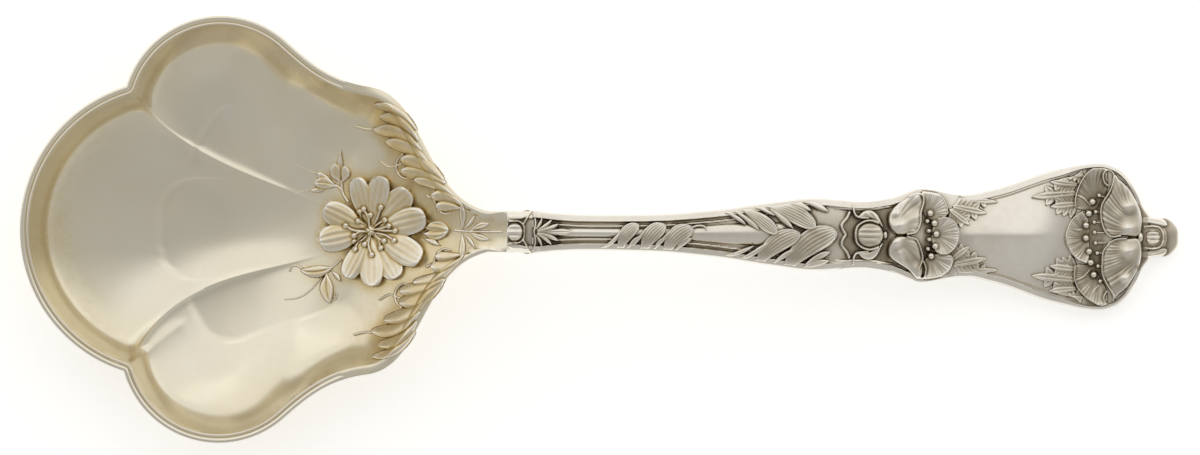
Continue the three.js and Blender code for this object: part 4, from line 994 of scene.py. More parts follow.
# Dark grounds of the handle: where each starts and ends, how far from the edge, and how dark it is
DARK_GROUNDS = (
    (32.4, 35.5, 0.6, 1.0), (59.0, 64.8, 0.8, 0.35), (64.8, 69.6, 0.95, 1.0), (73.0, 75.0, -math.inf, 1.0),
    (90.0, 92.0, -math.inf, 1.0), (95.5, math.inf, -math.inf, 1.0),
)


@functools.cache
def handle_patina(step, petal_height, leaf_height):
    """Patina over the handle's ornament raster: for the relief, and for the ground round it."""
    raster, motifs = handle_ornament(step, petal_height, leaf_height)
    x, y = np.meshgrid(raster.x, raster.y, indexing="ij")
    form = HandleForm()
    ground = form.moulding(x, y)
    edge = form.edge(x, y)
    dark = np.zeros(raster.shape)
    for start, end, inset, share in DARK_GROUNDS:
        dark = dark + share * ((x > start) & (x < end) & (edge > inset))
    dark = raster.blurred(np.clip(dark, 0, 1), 0.15)
    fine = hollows(raster, motifs, ground, 0.16, 0.14)
    broad = hollows(raster, motifs, ground, 0.55, 0.35)
    stem = 0.36 * np.maximum(fine, 0) * (x < 62)
    relief = 0.44 + 0.5 * fine + 0.42 * broad
    return relief, 0.06 + 0.2 * fine + stem + 0.26 * np.maximum(broad, 0) + 0.5 * dark


def new_mesh(name, points, quads, triangles=(), ends=(), patina=None, crease=None):
    """A smooth-shaded mesh object from points in millimetres."""
    points = np.asarray(points, float)
    faces = [np.asarray(quads, int).reshape(-1, 4), np.asarray(triangles, int).reshape(-1, 3)]
    corners = np.concatenate([f.ravel() for f in faces] + [np.asarray(e, int) for e in ends])
    sizes = [np.full(len(f), f.shape[1]) for f in faces] + [[len(e)] for e in ends]
    sizes = np.concatenate(sizes).astype(int)
    mesh = bpy.data.meshes.new(name)
    mesh.vertices.add(len(points))
    mesh.vertices.foreach_set("co", (points * MM).ravel())
    mesh.loops.add(len(corners))
    mesh.loops.foreach_set("vertex_index", corners)
    mesh.polygons.add(len(sizes))
    mesh.polygons.foreach_set("loop_start", np.concatenate([[0], np.cumsum(sizes)[:-1]]))
    mesh.polygons.foreach_set("use_smooth", np.ones(len(sizes), bool))
    mesh.update(calc_edges=True)
    if mesh.validate():
        raise RuntimeError(f"the mesh of {name} has faulty faces")
    if crease is not None:
        mesh.set_sharp_from_angle(angle=math.radians(crease))
    if patina is not None:
        layer = mesh.attributes.new("patina", "FLOAT", "POINT")
        layer.data.foreach_set("value", np.clip(patina, 0, 1))
    piece = bpy.data.objects.new(name, mesh)
    bpy.context.scene.collection.objects.link(piece)
    return piece


def fit(piece, node, material):
    """Gives a piece its finish and sets it in the frame in place of a node."""
    piece.data.materials.append(material)
    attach(piece, "root")
    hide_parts(node)


def grid_faces(rows, columns, loop=False, start=0, flip=False):
    """Quads of a grid of points; a loop joins its last row to its first."""
    i, j = np.meshgrid(np.arange(rows if loop else rows - 1), np.arange(columns - 1), indexing="ij")
    i, j = i.ravel(), j.ravel()
    row, after = i * columns, (i + 1) % rows * columns
    quads = np.stack([row + j, after + j, after + j + 1, row + j + 1], 1) + start
    return quads[:, ::-1] if flip else quads


def slab(name, x, half, top, under, columns, patina):
    """A closed slab along the handle, ruled across its width: its upper face is fine, its back plain."""
    rows = len(x)
    points = []
    quads = []
    edges = []
    start = 0
    for count, face in ((columns, top), (PLAIN_COLUMNS, under)):
        share = np.sin(np.linspace(-1, 1, count) * math.pi / 2)
        gx = np.repeat(x[:, None], count, 1)
        gy = half(x)[:, None] * share
        level = face(gx, gy)
        if face is under:
            level = np.minimum(level, top(gx, gy) - 0.1)
        points.append(np.stack([gx, gy, level], 2).reshape(-1, 3))
        quads.append(grid_faces(rows, count, start=start, flip=face is under))
        edges.append(start + np.arange(rows) * count)
        edges.append(edges[-1] + count - 1)
        start += rows * count
    low, high, low_under, high_under = edges
    quads.append(np.stack([low[:-1], low_under[:-1], low_under[1:], low[1:]], 1))
    quads.append(np.stack([high[:-1], high[1:], high_under[1:], high_under[:-1]], 1))
    ends = []
    for row, flip in ((0, False), (rows - 1, True)):
        upper = np.arange(low[row], high[row] + 1)
        lower = np.arange(low_under[row], high_under[row] + 1)
        ring = np.concatenate([upper, lower[::-1]])
        ends.append(ring[::-1] if flip else ring)
    wear = np.concatenate([patina(*points[0].T[:2]), np.full(len(points[1]), SILVER_BACK_PATINA)])
    return new_mesh(
        name, np.concatenate(points), np.concatenate(quads), ends=ends, patina=wear, crease=SLAB_CREASE,
    )


def relief_piece(name, motif, ground, patina):
    """A closed piece of relief: a motif's heights over its ground, sunk into it and cut at its edge."""
    raster, height = motif.raster, motif.height
    tall = height > CUT_LEVEL
    cells = tall[:-1, :-1] | tall[1:, :-1] | tall[:-1, 1:] | tall[1:, 1:]
    i, j = np.nonzero(cells)
    wide = raster.shape[1]
    corner = np.stack([i * wide + j, (i + 1) * wide + j, (i + 1) * wide + j + 1, i * wide + j + 1], 1)
    used, index = np.unique(corner, return_inverse=True)
    top = index.reshape(-1, 4)
    x, y = raster.x[used // wide], raster.y[used % wide]
    level = ground(x, y)
    rise = height.ravel()[used]
    upper = np.stack([x, y, level + np.maximum(rise, -SINK + 0.02)], 1)
    lower = np.stack([x, y, level - SINK], 1)
    count = len(used)
    outside = np.pad(~cells, 1, constant_values=True)
    walls = []
    for shift, (a, b) in (((-1, 0), (3, 0)), ((1, 0), (1, 2)), ((0, -1), (0, 1)), ((0, 1), (2, 3))):
        open_side = outside[i + 1 + shift[0], j + 1 + shift[1]]
        walls.append(np.stack([top[open_side, b], top[open_side, a],
                               top[open_side, a] + count, top[open_side, b] + count], 1))
    quads = np.concatenate([top, top[:, ::-1] + count, *walls])
    foot = 0.35 * np.clip((0.1 - rise) / 0.2, 0, 1)
    wear = np.concatenate([patina.ravel()[used] + foot, np.full(count, 0.5)])
    return new_mesh(name, np.concatenate([upper, lower]), quads, patina=wear)


def add_node(tree, kind, sockets=None, **settings):
    """Adds a node, with its settings, and sets or links its input sockets."""
    node = tree.nodes.new(kind)
    for name, value in settings.items():
        setattr(node, name, value)
    for key, value in (sockets or {}).items():
        if isinstance(value, bpy.types.NodeSocket):
            tree.links.new(value, node.inputs[key])
        else:
            node.inputs[key].default_value = value
    return node


# Stains of the metals: how wide they are in millimetres, and how strong
STAINS = ((6.0, 0.09), (0.7, 0.035))

# Lines of hand polish in millimetres
POLISH_LENGTH = 3.0
POLISH_WIDTH = 0.12
POLISH_DEPTH = 0.006


def worn_metal(name, stops, roughness, dull_roughness, spots):
    """Silver, bare or gilt, worn bright on its heights and stained in its hollows.

    The patina that each mesh carries picks the colour along the stops. A cloudy stain a few millimetres wide
    and a finer mottle break it up, hand polish leaves fine lines, and spots of tarnish sit here and there.
    """
    material = bpy.data.materials.get(name)
    if material:
        return material
    material = bpy.data.materials.new(name)
    material.use_nodes = True
    tree = material.node_tree
    tree.nodes.clear()
    place = add_node(tree, "ShaderNodeTexCoord").outputs["Object"]
    patina = add_node(tree, "ShaderNodeAttribute", attribute_name="patina").outputs["Fac"]
    stains = 0.0
    for width, strength in STAINS:
        noise = add_node(tree, "ShaderNodeTexNoise", {
            "Vector": place, "Scale": 1 / (width * MM), "Detail": 3.0,
        })
        stain = add_node(tree, "ShaderNodeMapRange", {
            "Value": noise.outputs["Fac"], "From Min": 0.3, "From Max": 0.7, "To Min": -strength,
            "To Max": strength,
        })
        total = add_node(tree, "ShaderNodeMath", {0: stains, 1: stain.outputs["Result"]}, operation="ADD")
        stains = total.outputs["Value"]
    wear = add_node(tree, "ShaderNodeMath", {0: patina, 1: stains}, operation="ADD", use_clamp=True)
    dots = add_node(tree, "ShaderNodeTexVoronoi", {"Vector": place, "Scale": 1 / (spots * MM)})
    speck = add_node(tree, "ShaderNodeMapRange", {
        "Value": dots.outputs["Distance"], "From Min": 0.018, "From Max": 0.05, "To Min": 0.45, "To Max": 0.0,
    })
    tarnished = add_node(tree, "ShaderNodeMath", {
        0: wear.outputs["Value"], 1: speck.outputs["Result"],
    }, operation="ADD", use_clamp=True).outputs["Value"]
    ramp = add_node(tree, "ShaderNodeValToRGB", {"Fac": tarnished})
    elements = ramp.color_ramp.elements
    while len(elements) < len(stops):
        elements.new(0.5)
    for element, (position, colour) in zip(elements, stops):
        element.position = position
        element.color = (*colour[:3], 1)
    gloss = add_node(tree, "ShaderNodeMapRange", {
        "Value": tarnished, "To Min": roughness, "To Max": dull_roughness,
    })
    across = 1 / (POLISH_WIDTH * MM)
    streak = add_node(tree, "ShaderNodeMapping", {
        "Vector": place, "Rotation": (0, 0, 0.5), "Scale": (1 / (POLISH_LENGTH * MM), across, across),
    })
    lines = add_node(tree, "ShaderNodeTexNoise", {
        "Vector": streak.outputs["Vector"], "Scale": 1.0, "Detail": 2.0,
    })
    bump = add_node(tree, "ShaderNodeBump", {
        "Height": lines.outputs["Fac"], "Strength": 0.12, "Distance": POLISH_DEPTH * MM,
    })
    shader = add_node(tree, "ShaderNodeBsdfPrincipled", {
        "Base Color": ramp.outputs["Color"], "Metallic": 1.0, "Roughness": gloss.outputs["Result"],
        "Normal": bump.outputs["Normal"],
    })
    add_node(tree, "ShaderNodeOutputMaterial", {"Surface": shader.outputs["BSDF"]})
    return material


def gilt_silver(colours):
    """Sterling silver with thin gilding, hand polished: pale gold where it wears, deep gold in hollows."""
    stops = ((0, colours.worn_gilt), (0.4, colours.gilt), (0.75, colours.deep_gilt), (1, colours.gilt_stain))
    return worn_metal("gilt sterling silver", stops, 0.2, 0.34, 9)


def gilt_relief(colours):
    """The same gilding on relief: rubbed to silver on the petals, gold and brown in the lines between."""
    stops = (
        (0, colours.silver), (0.28, colours.worn_gilt), (0.6, colours.deep_gilt), (1, colours.gilt_stain),
    )
    return worn_metal("gilt sterling silver, rubbed relief", stops, 0.2, 0.36, 7)


def polished_silver(colours):
    """Sterling silver, struck and polished: bright on borders and panels, brown oxide in the grooves."""
    stops = ((0, colours.silver), (0.35, colours.dull_silver), (0.7, colours.oxide), (1, colours.deep_oxide))
    return worn_metal("polished sterling silver", stops, 0.17, 0.42, 8)


def oxidised_relief(colours):
    """Sterling silver relief with its oxide left in the hollows, so that petals and leaves stand out."""
    stops = ((0, colours.silver), (0.28, colours.dull_silver), (0.6, colours.oxide), (1, colours.deep_oxide))
    return worn_metal("oxidised sterling silver relief", stops, 0.19, 0.45, 8)


def length_property(name, millimetres, description):
    """A length of the spoon that a user may change."""
    return bpy.props.FloatProperty(
        name=name, description=description, default=millimetres * MM, min=0, unit="LENGTH", precision=5,
    )


def colour_property(name, hex_colour, description):
    """A colour of the spoon that a user may change."""
    return bpy.props.FloatVectorProperty(
        name=name, description=description, default=linear(hex_colour), min=0, max=1, subtype="COLOR",
    )


class SpoonSizes(bpy.types.PropertyGroup):
    """Sizes of the spoon's relief."""

    relief_step: length_property("Relief Step", 0.055, "Spacing of the raster that the relief is modelled on")
    petal_height: length_property("Petal Height", 0.75, "Height of the rose's and the poppies' petals")
    leaf_height: length_property("Leaf Height", 0.5, "Height of the leaves")
    ridge_height: length_property("Ridge Height", 0.8, "Height of the ridges between the bowl's lobes")
    rim_height: length_property("Rim Height", 0.28, "Height of the bead moulding on the bowl's rim")
    border_height: length_property("Border Height", 0.44, "Height of the borders of the cartouche")


class SpoonColours(bpy.types.PropertyGroup):
    """Colours of the spoon's metals and of the floor."""

    worn_gilt: colour_property("Worn Gilt", "#EFE9DA", "Gilding rubbed thin on the heights")
    gilt: colour_property("Gilt", "#EBE2C9", "Gilding of the bowl")
    deep_gilt: colour_property("Deep Gilt", "#D9C596", "Gilding in the hollows, where it is thickest")
    gilt_stain: colour_property("Gilt Stain", "#8A7346", "Stain in the lines between gilt petals")
    silver: colour_property("Silver", "#F1ECE1", "Polished silver")
    dull_silver: colour_property("Dull Silver", "#DBD3C3", "Silver with a light tarnish")
    oxide: colour_property("Oxide", "#A39783", "Brown oxide in the hollows")
    deep_oxide: colour_property("Deep Oxide", "#675A48", "Oxide in the deepest lines")
    floor: colour_property("Floor", "#F4F4F2", "Floor")


def relief_sizes():
    """The raster step and the heights of petals and leaves, in millimetres."""
    sizes = bpy.context.scene.spoon_sizes
    return sizes.relief_step / MM, sizes.petal_height / MM, sizes.leaf_height / MM


def bowl_form():
    """The bowl's form with the scene's ridge height."""
    return BowlForm(bpy.context.scene.spoon_sizes.ridge_height / MM)


class SPOON_OT_bowl(bpy.types.Operator):
    """Builds the gilt bowl with its neck"""

    bl_idname = "spoon.bowl"
    bl_label = "Bowl"

    def execute(self, context):
        form = bowl_form()
        outline = form.outline()[::-1]
        along = np.roll(outline, -1, axis=0) - np.roll(outline, 1, axis=0)
        along = along / np.hypot(*along.T)[:, None]
        ray = outline - FLOWER
        length = np.hypot(*ray.T)
        # How far the rose lies inside the rim's tangent, from which the wall's columns are set out
        depth = np.maximum(ray[:, 0] * along[:, 1] - ray[:, 1] * along[:, 0], 0.35 * length)
        depth = np.mean([np.roll(depth, shift) for shift in range(-7, 8)], axis=0)
        angle = np.arctan2(np.abs(ray[:, 1]), -ray[:, 0])[:, None]
        near_notch = np.exp(-((angle / form.notch_angle - 1) / 0.45) ** 2)
        outer = np.maximum(1 - WALL_COLUMNS / depth[:, None], 0.3)
        inner = outer[:, -1:] * np.linspace(1, 0, 70)[1:-1]
        fine = np.concatenate([outer, inner], 1)
        rows, columns = fine.shape
        foot_column = len(WALL_COLUMNS)
        plain = fine[:, [*range(0, foot_column, 4), *range(foot_column + 5, columns, 9)]]
        points = []
        quads = []
        fans = []
        edges = []
        start = 0
        for shares, face in ((fine, form.top), (plain, form.under)):
            turned = angle + form.crest_turn(shares, ray[:, 1:]) * near_notch
            x = FLOWER[0] - shares * length[:, None] * np.cos(turned)
            y = FLOWER[1] + shares * length[:, None] * np.sin(turned) * np.sign(ray[:, 1:])
            count = shares.shape[1]
            grid = np.stack([x, y, face(x, y)], 2).reshape(-1, 3)
            middle = [[*FLOWER, face(FLOWER[:1], FLOWER[1:])[0]]]
            points.append(np.concatenate([grid, middle]))
            flip = face == form.under
            quads.append(grid_faces(rows, count, loop=True, start=start, flip=flip))
            hub = start + np.arange(rows) * count + count - 1
            fan = np.stack([hub, np.roll(hub, -1), np.full(rows, start + rows * count)], 1)
            fans.append(fan[:, ::-1] if flip else fan)
            edges.append(start + np.arange(rows) * count)
            start += len(points[-1])
        top, under = edges
        quads.append(np.stack([top, under, np.roll(under, -1), np.roll(top, -1)], 1))
        x, y = points[0].T[:2]
        step = relief_sizes()
        raster, stain = bowl_ornament(*step)[0], bowl_patina(*step)[1]
        distance = form.edge_distance(x, y)
        foot = smoothstep(distance, 8, 3) * (1 - 0.5 * smoothstep(distance, 2.6, 1.4))
        gold = 0.16 + lerp(0.1, 0.3, smoothstep(x, -6, -14)) * foot
        gold = lerp(gold, 0.46, smoothstep(x, 8, 18))
        # Darker gold on the ground round the ornament: partly gilt stain, partly painted shade at the
        # relief's foot
        gold = gold + np.where(x > 4.5, raster.sample(stain, x, y), 0)
        gold = gold - 0.4 * form.band(x, distance)
        wear = np.concatenate([gold, np.full(len(points[1]), GILT_BACK_PATINA)])
        piece = new_mesh("gilt_bowl", np.concatenate(points), np.concatenate(quads), np.concatenate(fans),
                         patina=wear, crease=BOWL_CREASE)
        fit(piece, "bowl", gilt_silver(context.scene.spoon_colours))
        return {"FINISHED"}


def swept_moulding(name, path, level, section, patina):
    """A closed moulding swept along a path in plan; its section is given inward from the path and upward."""
    along = np.gradient(path, axis=0)
    along = along / np.hypot(*along.T)[:, None]
    inward = np.stack([along[:, 1], -along[:, 0]], 1)
    inset, lift = section
    points = path[:, None] + inward[:, None] * inset[..., None]
    rows, columns = points.shape[:2]
    heights = level[:, None] + lift
    points = np.concatenate([points, heights[..., None]], 2).reshape(-1, 3)
    i, j = np.meshgrid(np.arange(rows - 1) * columns, np.arange(columns), indexing="ij")
    i, j = i.ravel(), j.ravel()
    after = (j + 1) % columns
    quads = np.stack([i + j, i + after, i + columns + after, i + columns + j], 1)
    ends = [np.arange(columns)[::-1], np.arange(columns) + (rows - 1) * columns]
    wear = np.tile(patina, rows)
    return new_mesh(name, points, quads, ends=ends, patina=wear, crease=MOULDING_CREASE)


def closed_section(inset, lift, patina, span):
    """A moulding's section across its span, with its patina and the two corners of its foot."""
    return np.concatenate([inset, [1, 0]]) * span, lift, np.concatenate([patina, [0.5, 0.5]])


def double_bead(height, span):
    """Section of a broad bead beside a narrow one, with the groove between them, and its patina."""
    inset = np.linspace(0, 1, 27)
    beads = np.maximum(half_round(inset, 0.24, 0.34), 0.75 * half_round(inset, 0.81, 0.18))
    return closed_section(inset, height * (beads - 0.15), 0.75 * (1 - beads) ** 2, span)


def bevel(height, span):
    """Section of a band that leans outward, with a groove and a fine bead inside it, and its patina."""
    inset = np.linspace(0, 1, 27)
    band = plateau(inset, (-0.05, 0.14), (0.6, 0.74)) * (0.5 + 0.5 * inset / 0.6)
    bead = 0.45 * half_round(inset, 0.9, 0.1)
    patina = 0.75 * smoothstep(inset, 0.62, 0.76) * (1 - bead)
    return closed_section(inset, height * (np.maximum(band, bead) - 0.1), patina, span)


class SPOON_OT_bowl_rim(bpy.types.Operator):
    """Builds the bead moulding round the bowl's rim, which dies away at the waists"""

    bl_idname = "spoon.bowl_rim"
    bl_label = "Bowl Rim"

    def execute(self, context):
        form = bowl_form()
        path = np.concatenate([form.rim[:0:-1] * (1, -1), form.rim])
        run = np.concatenate([[0], np.cumsum(np.hypot(*np.diff(path, axis=0).T))])
        swell = smoothstep(np.minimum(run, run[-1] - run), 0, 6)[:, None]
        inset, lift, patina = double_bead(context.scene.spoon_sizes.rim_height / MM, 0.95)
        inset = np.tile(inset, (len(path), 1))
        lift = np.concatenate([lift * swell - 0.12 * (1 - swell), np.full((len(path), 2), -0.3)], 1)
        level = form.rim_line(path[:, 0])
        piece = swept_moulding("gilt_rim_bead", path, level, (inset, lift), patina * 0.7 + 0.1)
        fit(piece, "bowl_rim", gilt_silver(context.scene.spoon_colours))
        return {"FINISHED"}


class SPOON_OT_bowl_ornament(bpy.types.Operator):
    """Builds the rose, its stamens, the sprigs, the plumes and the neck's sprig"""

    bl_idname = "spoon.bowl_ornament"
    bl_label = "Bowl Ornament"

    def execute(self, context):
        form = bowl_form()
        step = relief_sizes()
        motifs, patina = bowl_ornament(*step)[1], bowl_patina(*step)[0]
        for node, motif in motifs.items():
            stain = {"bowl_rose": 0.03, "rose_stamens": 0.3}.get(node, 0.18)
            piece = relief_piece(f"{node}_relief", motif, form.top, patina + stain)
            fit(piece, node, gilt_relief(context.scene.spoon_colours))
        return {"FINISHED"}


# How much cleaner the buds on the collar and the finial are than the other silver relief
BUD_POLISH = 0.16


class SPOON_OT_collar(bpy.types.Operator):
    """Builds the collar over the joint between the bowl and the handle"""

    bl_idname = "spoon.collar"
    bl_label = "Collar"

    def execute(self, context):
        low, high = node_box("collar")
        half = profile([
            (low[0], 2.12), (30.6, 2.14), (31.3, 2.1), (32.1, high[1]), (high[0], 2.16),
        ])
        step = relief_sizes()
        raster, motifs = handle_ornament(*step)
        patina = handle_patina(*step)[0]

        def top(x, y):
            v = np.clip(np.abs(y) / half(x), 0, 1)
            rise = np.maximum(raster.sample(motifs["collar"].height, x, y), -0.02)
            return COLLAR_LEVEL + 1.25 * (1 - v ** 4) ** 0.5 + rise * (1 - v ** 8)

        def under(x, y):
            v = np.clip(np.abs(y) / half(x), 0, 1)
            return COLLAR_LEVEL - 1.5 * (1 - v ** 4) ** 0.5

        def wear(x, y):
            return raster.sample(patina, x, y) - BUD_POLISH

        x = np.linspace(low[0], high[0], 60)
        piece = slab("silver_collar", x, half, top, under, 101, wear)
        fit(piece, "collar", oxidised_relief(context.scene.spoon_colours))
        return {"FINISHED"}


class SPOON_OT_handle(bpy.types.Operator):
    """Builds the handle with its borders, flute and cartouche"""

    bl_idname = "spoon.handle"
    bl_label = "Handle"

    def execute(self, context):
        form = HandleForm()
        step = relief_sizes()
        raster, patina = handle_ornament(*step)[0], handle_patina(*step)[1]
        x = np.concatenate([np.linspace(HANDLE_START, 92, 560)[:-1], np.linspace(92, HANDLE_END, 90)])

        def wear(a, b):
            edge = form.half(a) - np.abs(b)
            return raster.sample(patina, a, b) * smoothstep(edge, 0.1, 0.4)

        piece = slab("silver_handle", x, form.half, form.top, form.under, 121, wear)
        fit(piece, "handle", polished_silver(context.scene.spoon_colours))
        return {"FINISHED"}


class SPOON_OT_handle_ornament(bpy.types.Operator):
    """Builds the palmette, leaves, sprays, bracket, capsule and poppies on the handle"""

    bl_idname = "spoon.handle_ornament"
    bl_label = "Handle Ornament"

    def execute(self, context):
        form = HandleForm()
        step = relief_sizes()
        motifs, patina = handle_ornament(*step)[1], handle_patina(*step)[0]
        for node, motif in motifs.items():
            if node not in ("collar", "finial"):
                stain = {"lower_poppy": -0.12}.get(node, 0)
                piece = relief_piece(f"{node}_relief", motif, form.ground, patina + stain)
                fit(piece, node, oxidised_relief(context.scene.spoon_colours))
        return {"FINISHED"}


class SPOON_OT_borders(bpy.types.Operator):
    """Builds the raised borders along the cartouche"""

    bl_idname = "spoon.borders"
    bl_label = "Borders"

    def execute(self, context):
        form = HandleForm()
        low, high = node_box("upper_border")
        x = np.linspace(low[0], high[0], 260)
        inset, lift, patina = bevel(context.scene.spoon_sizes.border_height / MM, BORDER_SPAN)
        swell = plateau(x, (low[0], low[0] + 2), (high[0] - 1.5, high[0]))[:, None]
        inset = inset * lerp(1, 0.5, smoothstep(x, 86.5, 90))[:, None]
        for node, side in (("upper_border", 1), ("lower_border", -1)):
            path = np.stack([x, form.half(x) - 0.02], 1)
            level = form.ground(x, form.half(x) - BORDER_SPAN / 2)
            rise = np.concatenate([lift * swell, np.full((len(x), 2), -0.4)], 1)
            piece = swept_moulding(f"silver_{node}", path, level, (inset, rise), patina)
            if side < 0:
                piece.data.transform(((1, 0, 0, 0), (0, -1, 0, 0), (0, 0, 1, 0), (0, 0, 0, 1)))
                piece.data.flip_normals()
            fit(piece, node, polished_silver(context.scene.spoon_colours))
        return {"FINISHED"}


class SPOON_OT_finial(bpy.types.Operator):
    """Builds the bud finial with its ringed end"""

    bl_idname = "spoon.finial"
    bl_label = "Finial"

    def execute(self, context):
        high = node_box("finial")[1]
        start = HANDLE_END - 0.25
        half = profile([
            (start, 2.5), (96.8, 2.12), (97.3, 1.98), (98.3, 1.98), (98.75, 1.8), (99.2, 1.4), (99.5, 1.0),
            (high[0], 0.6),
        ])
        step = relief_sizes()
        raster, motifs = handle_ornament(*step)
        patina = handle_patina(*step)[0]
        level = TERMINAL_THICKNESS / 2 + 0.1

        def crown(x, y):
            v = np.clip(np.abs(y) / half(x), 0, 1)
            tip = np.sqrt(np.clip((high[0] + 0.02 - x) / 0.9, 0, 1))
            return (1 - v ** 2.3) ** 0.5 * tip

        def top(x, y):
            rise = np.maximum(raster.sample(motifs["finial"].height, x, y), -0.05)
            return level + crown(x, y) * (0.75 + rise)

        def under(x, y):
            return level - 0.9 * crown(x, y)

        def wear(x, y):
            return raster.sample(patina, x, y) - BUD_POLISH + 0.14 * smoothstep(x, 98.2, 98.6)

        x = np.linspace(start, high[0], 80)
        piece = slab("silver_finial", x, half, top, under, 101, wear)
        fit(piece, "finial", oxidised_relief(context.scene.spoon_colours))
        return {"FINISHED"}


# Camera, in millimetres: the photograph looks straight down and is turned by half a degree
IMAGE_CENTRE = (39.58, 0.53)
IMAGE_SPAN = 124.14
IMAGE_TURN = math.atan(0.00855)
LENS = 300.0
SENSOR = 36.0
FOCUS_LEVEL = 6.0

# Light tent: the way to each panel, how squarely it is faced where it starts and is full, and what it adds
TENT_LIGHT = 0.46
TENT_TINT = (1.0, 0.985, 0.965, 1)
TENT_PANELS = (
    ((-0.12, 0.99, 0), 0.0, 0.28, 0.46), ((0.6, -0.8, 0), 0.34, 0.6, 0.06), ((-1, 0, 0), 0.1, 0.6, 0.04),
    ((0, 0, 1), 0.962, 0.995, -0.055), ((1, 0, 0), 0.3, 0.55, 0.05),
)

# Floor, its reach in millimetres, and softbox in metres and watts
FLOOR_GLOW = 0.45
FLOOR_REACH = 4000.0
SOFTBOX_SIZE = (0.5, 0.3)
SOFTBOX_POWER = 0.08
SOFTBOX_PLACE = (-0.25, 0.75, 0.7)
SOFTBOX_TURN = 0.32


def light_tent():
    """World: a white tent, bright to the north, with faint panels to the south-east, the west and the east.

    It is a little dimmer straight overhead, round the camera.
    """
    world = bpy.data.worlds.new("light tent")
    bpy.context.scene.world = world
    world.use_nodes = True
    tree = world.node_tree
    tree.nodes.clear()
    way = add_node(tree, "ShaderNodeTexCoord").outputs["Generated"]
    light = TENT_LIGHT
    for towards, start, end, gain in TENT_PANELS:
        turn = add_node(tree, "ShaderNodeVectorMath", {0: way, 1: towards}, operation="DOT_PRODUCT")
        panel = add_node(tree, "ShaderNodeMapRange", {
            "Value": turn.outputs["Value"], "From Min": start, "From Max": end, "To Min": 0.0, "To Max": gain,
        }, interpolation_type="SMOOTHSTEP")
        total = add_node(tree, "ShaderNodeMath", {0: light, 1: panel.outputs["Result"]}, operation="ADD")
        light = total.outputs["Value"]
    glow = add_node(tree, "ShaderNodeBackground", {"Color": TENT_TINT, "Strength": light})
    add_node(tree, "ShaderNodeOutputWorld", {"Surface": glow.outputs["Background"]})


def white_floor(colours):
    """Matt white card that takes the spoon's shadow.

    A glow that the eye sees, also in the metal, keeps it white.
    """
    material = bpy.data.materials.new("matt white card")
    material.use_nodes = True
    tree = material.node_tree
    tree.nodes.clear()
    seen = add_node(tree, "ShaderNodeLightPath").outputs
    rays = seen["Is Camera Ray"]
    for kind in ("Is Glossy Ray", "Is Transmission Ray"):
        either = add_node(tree, "ShaderNodeMath", {0: rays, 1: seen[kind]}, operation="MAXIMUM")
        rays = either.outputs["Value"]
    glow = add_node(tree, "ShaderNodeMath", {0: rays, 1: FLOOR_GLOW}, operation="MULTIPLY")
    shader = add_node(tree, "ShaderNodeBsdfPrincipled", {
        "Base Color": (*colours.floor, 1), "Roughness": 0.9, "Specular IOR Level": 0.1,
        "Emission Color": (1, 1, 1, 1), "Emission Strength": glow.outputs["Value"],
    })
    add_node(tree, "ShaderNodeOutputMaterial", {"Surface": shader.outputs["BSDF"]})
    return material


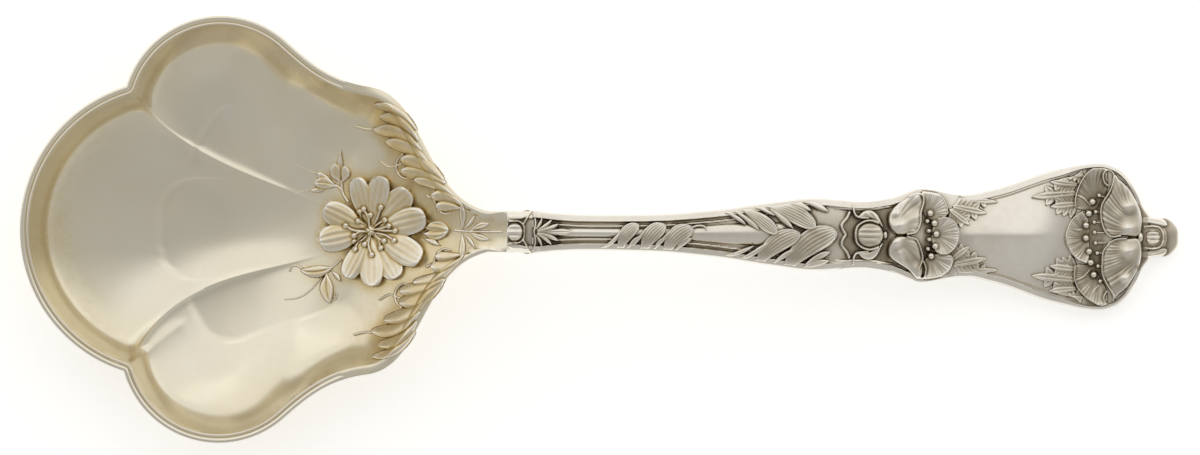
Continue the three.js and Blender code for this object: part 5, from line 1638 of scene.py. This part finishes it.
class SPOON_OT_stage(bpy.types.Operator):
    """Builds the floor, the light tent, the lamp and the camera"""

    bl_idname = "spoon.stage"
    bl_label = "Stage"

    def execute(self, context):
        scene = context.scene
        scene.view_settings.view_transform = "Standard"
        far = FLOOR_REACH
        corners = [(-far, -far, 0), (far, -far, 0), (far, far, 0), (-far, far, 0)]
        floor = new_mesh("floor", corners, [[0, 1, 2, 3]])
        floor.data.materials.append(white_floor(scene.spoon_colours))
        light_tent()
        lamp = bpy.data.lights.new("softbox", "AREA")
        lamp.shape = "RECTANGLE"
        lamp.size, lamp.size_y = SOFTBOX_SIZE
        lamp.energy = SOFTBOX_POWER
        softbox = bpy.data.objects.new("softbox", lamp)
        softbox.location = SOFTBOX_PLACE
        softbox.rotation_euler = (-math.atan2(*SOFTBOX_PLACE[1:]), 0, SOFTBOX_TURN)
        scene.collection.objects.link(softbox)
        lens = bpy.data.cameras.new("camera")
        lens.lens = LENS
        lens.sensor_width = SENSOR
        camera = bpy.data.objects.new("camera", lens)
        height = FOCUS_LEVEL + IMAGE_SPAN * LENS / SENSOR
        camera.location = (IMAGE_CENTRE[0] * MM, IMAGE_CENTRE[1] * MM, height * MM)
        camera.rotation_euler = (0, 0, IMAGE_TURN)
        scene.collection.objects.link(camera)
        scene.camera = camera
        return {"FINISHED"}


OPERATORS = (
    SPOON_OT_bowl, SPOON_OT_bowl_rim, SPOON_OT_bowl_ornament, SPOON_OT_collar, SPOON_OT_handle,
    SPOON_OT_handle_ornament, SPOON_OT_borders, SPOON_OT_finial, SPOON_OT_stage,
)


class SPOON_PT_build(bpy.types.Panel):
    """Lists the steps that build the spoon, with its sizes and colours"""

    bl_idname = "SPOON_PT_build"
    bl_label = "Bonbon Spoon"
    bl_space_type = "VIEW_3D"
    bl_region_type = "UI"
    bl_category = "Spoon"

    def draw(self, context):
        layout = self.layout
        for operator in OPERATORS:
            layout.operator(operator.bl_idname)
        for group in (context.scene.spoon_sizes, context.scene.spoon_colours):
            for name in group.__annotations__:
                layout.prop(group, name)


CLASSES = (SpoonSizes, SpoonColours, *OPERATORS, SPOON_PT_build)


def register():
    """Registers the classes and the scene's settings."""
    for cls in CLASSES:
        bpy.utils.register_class(cls)
    bpy.types.Scene.spoon_sizes = bpy.props.PointerProperty(type=SpoonSizes)
    bpy.types.Scene.spoon_colours = bpy.props.PointerProperty(type=SpoonColours)


def unregister():
    """Removes the scene's settings and the classes."""
    del bpy.types.Scene.spoon_colours
    del bpy.types.Scene.spoon_sizes
    for cls in reversed(CLASSES):
        bpy.utils.unregister_class(cls)


def main():
    """Builds the spoon and its stage."""
    register()
    bpy.ops.spoon.bowl()
    bpy.ops.spoon.bowl_rim()
    bpy.ops.spoon.bowl_ornament()
    bpy.ops.spoon.collar()
    bpy.ops.spoon.handle()
    bpy.ops.spoon.handle_ornament()
    bpy.ops.spoon.borders()
    bpy.ops.spoon.finial()
    bpy.ops.spoon.stage()


if __name__ == "__main__":
    main()
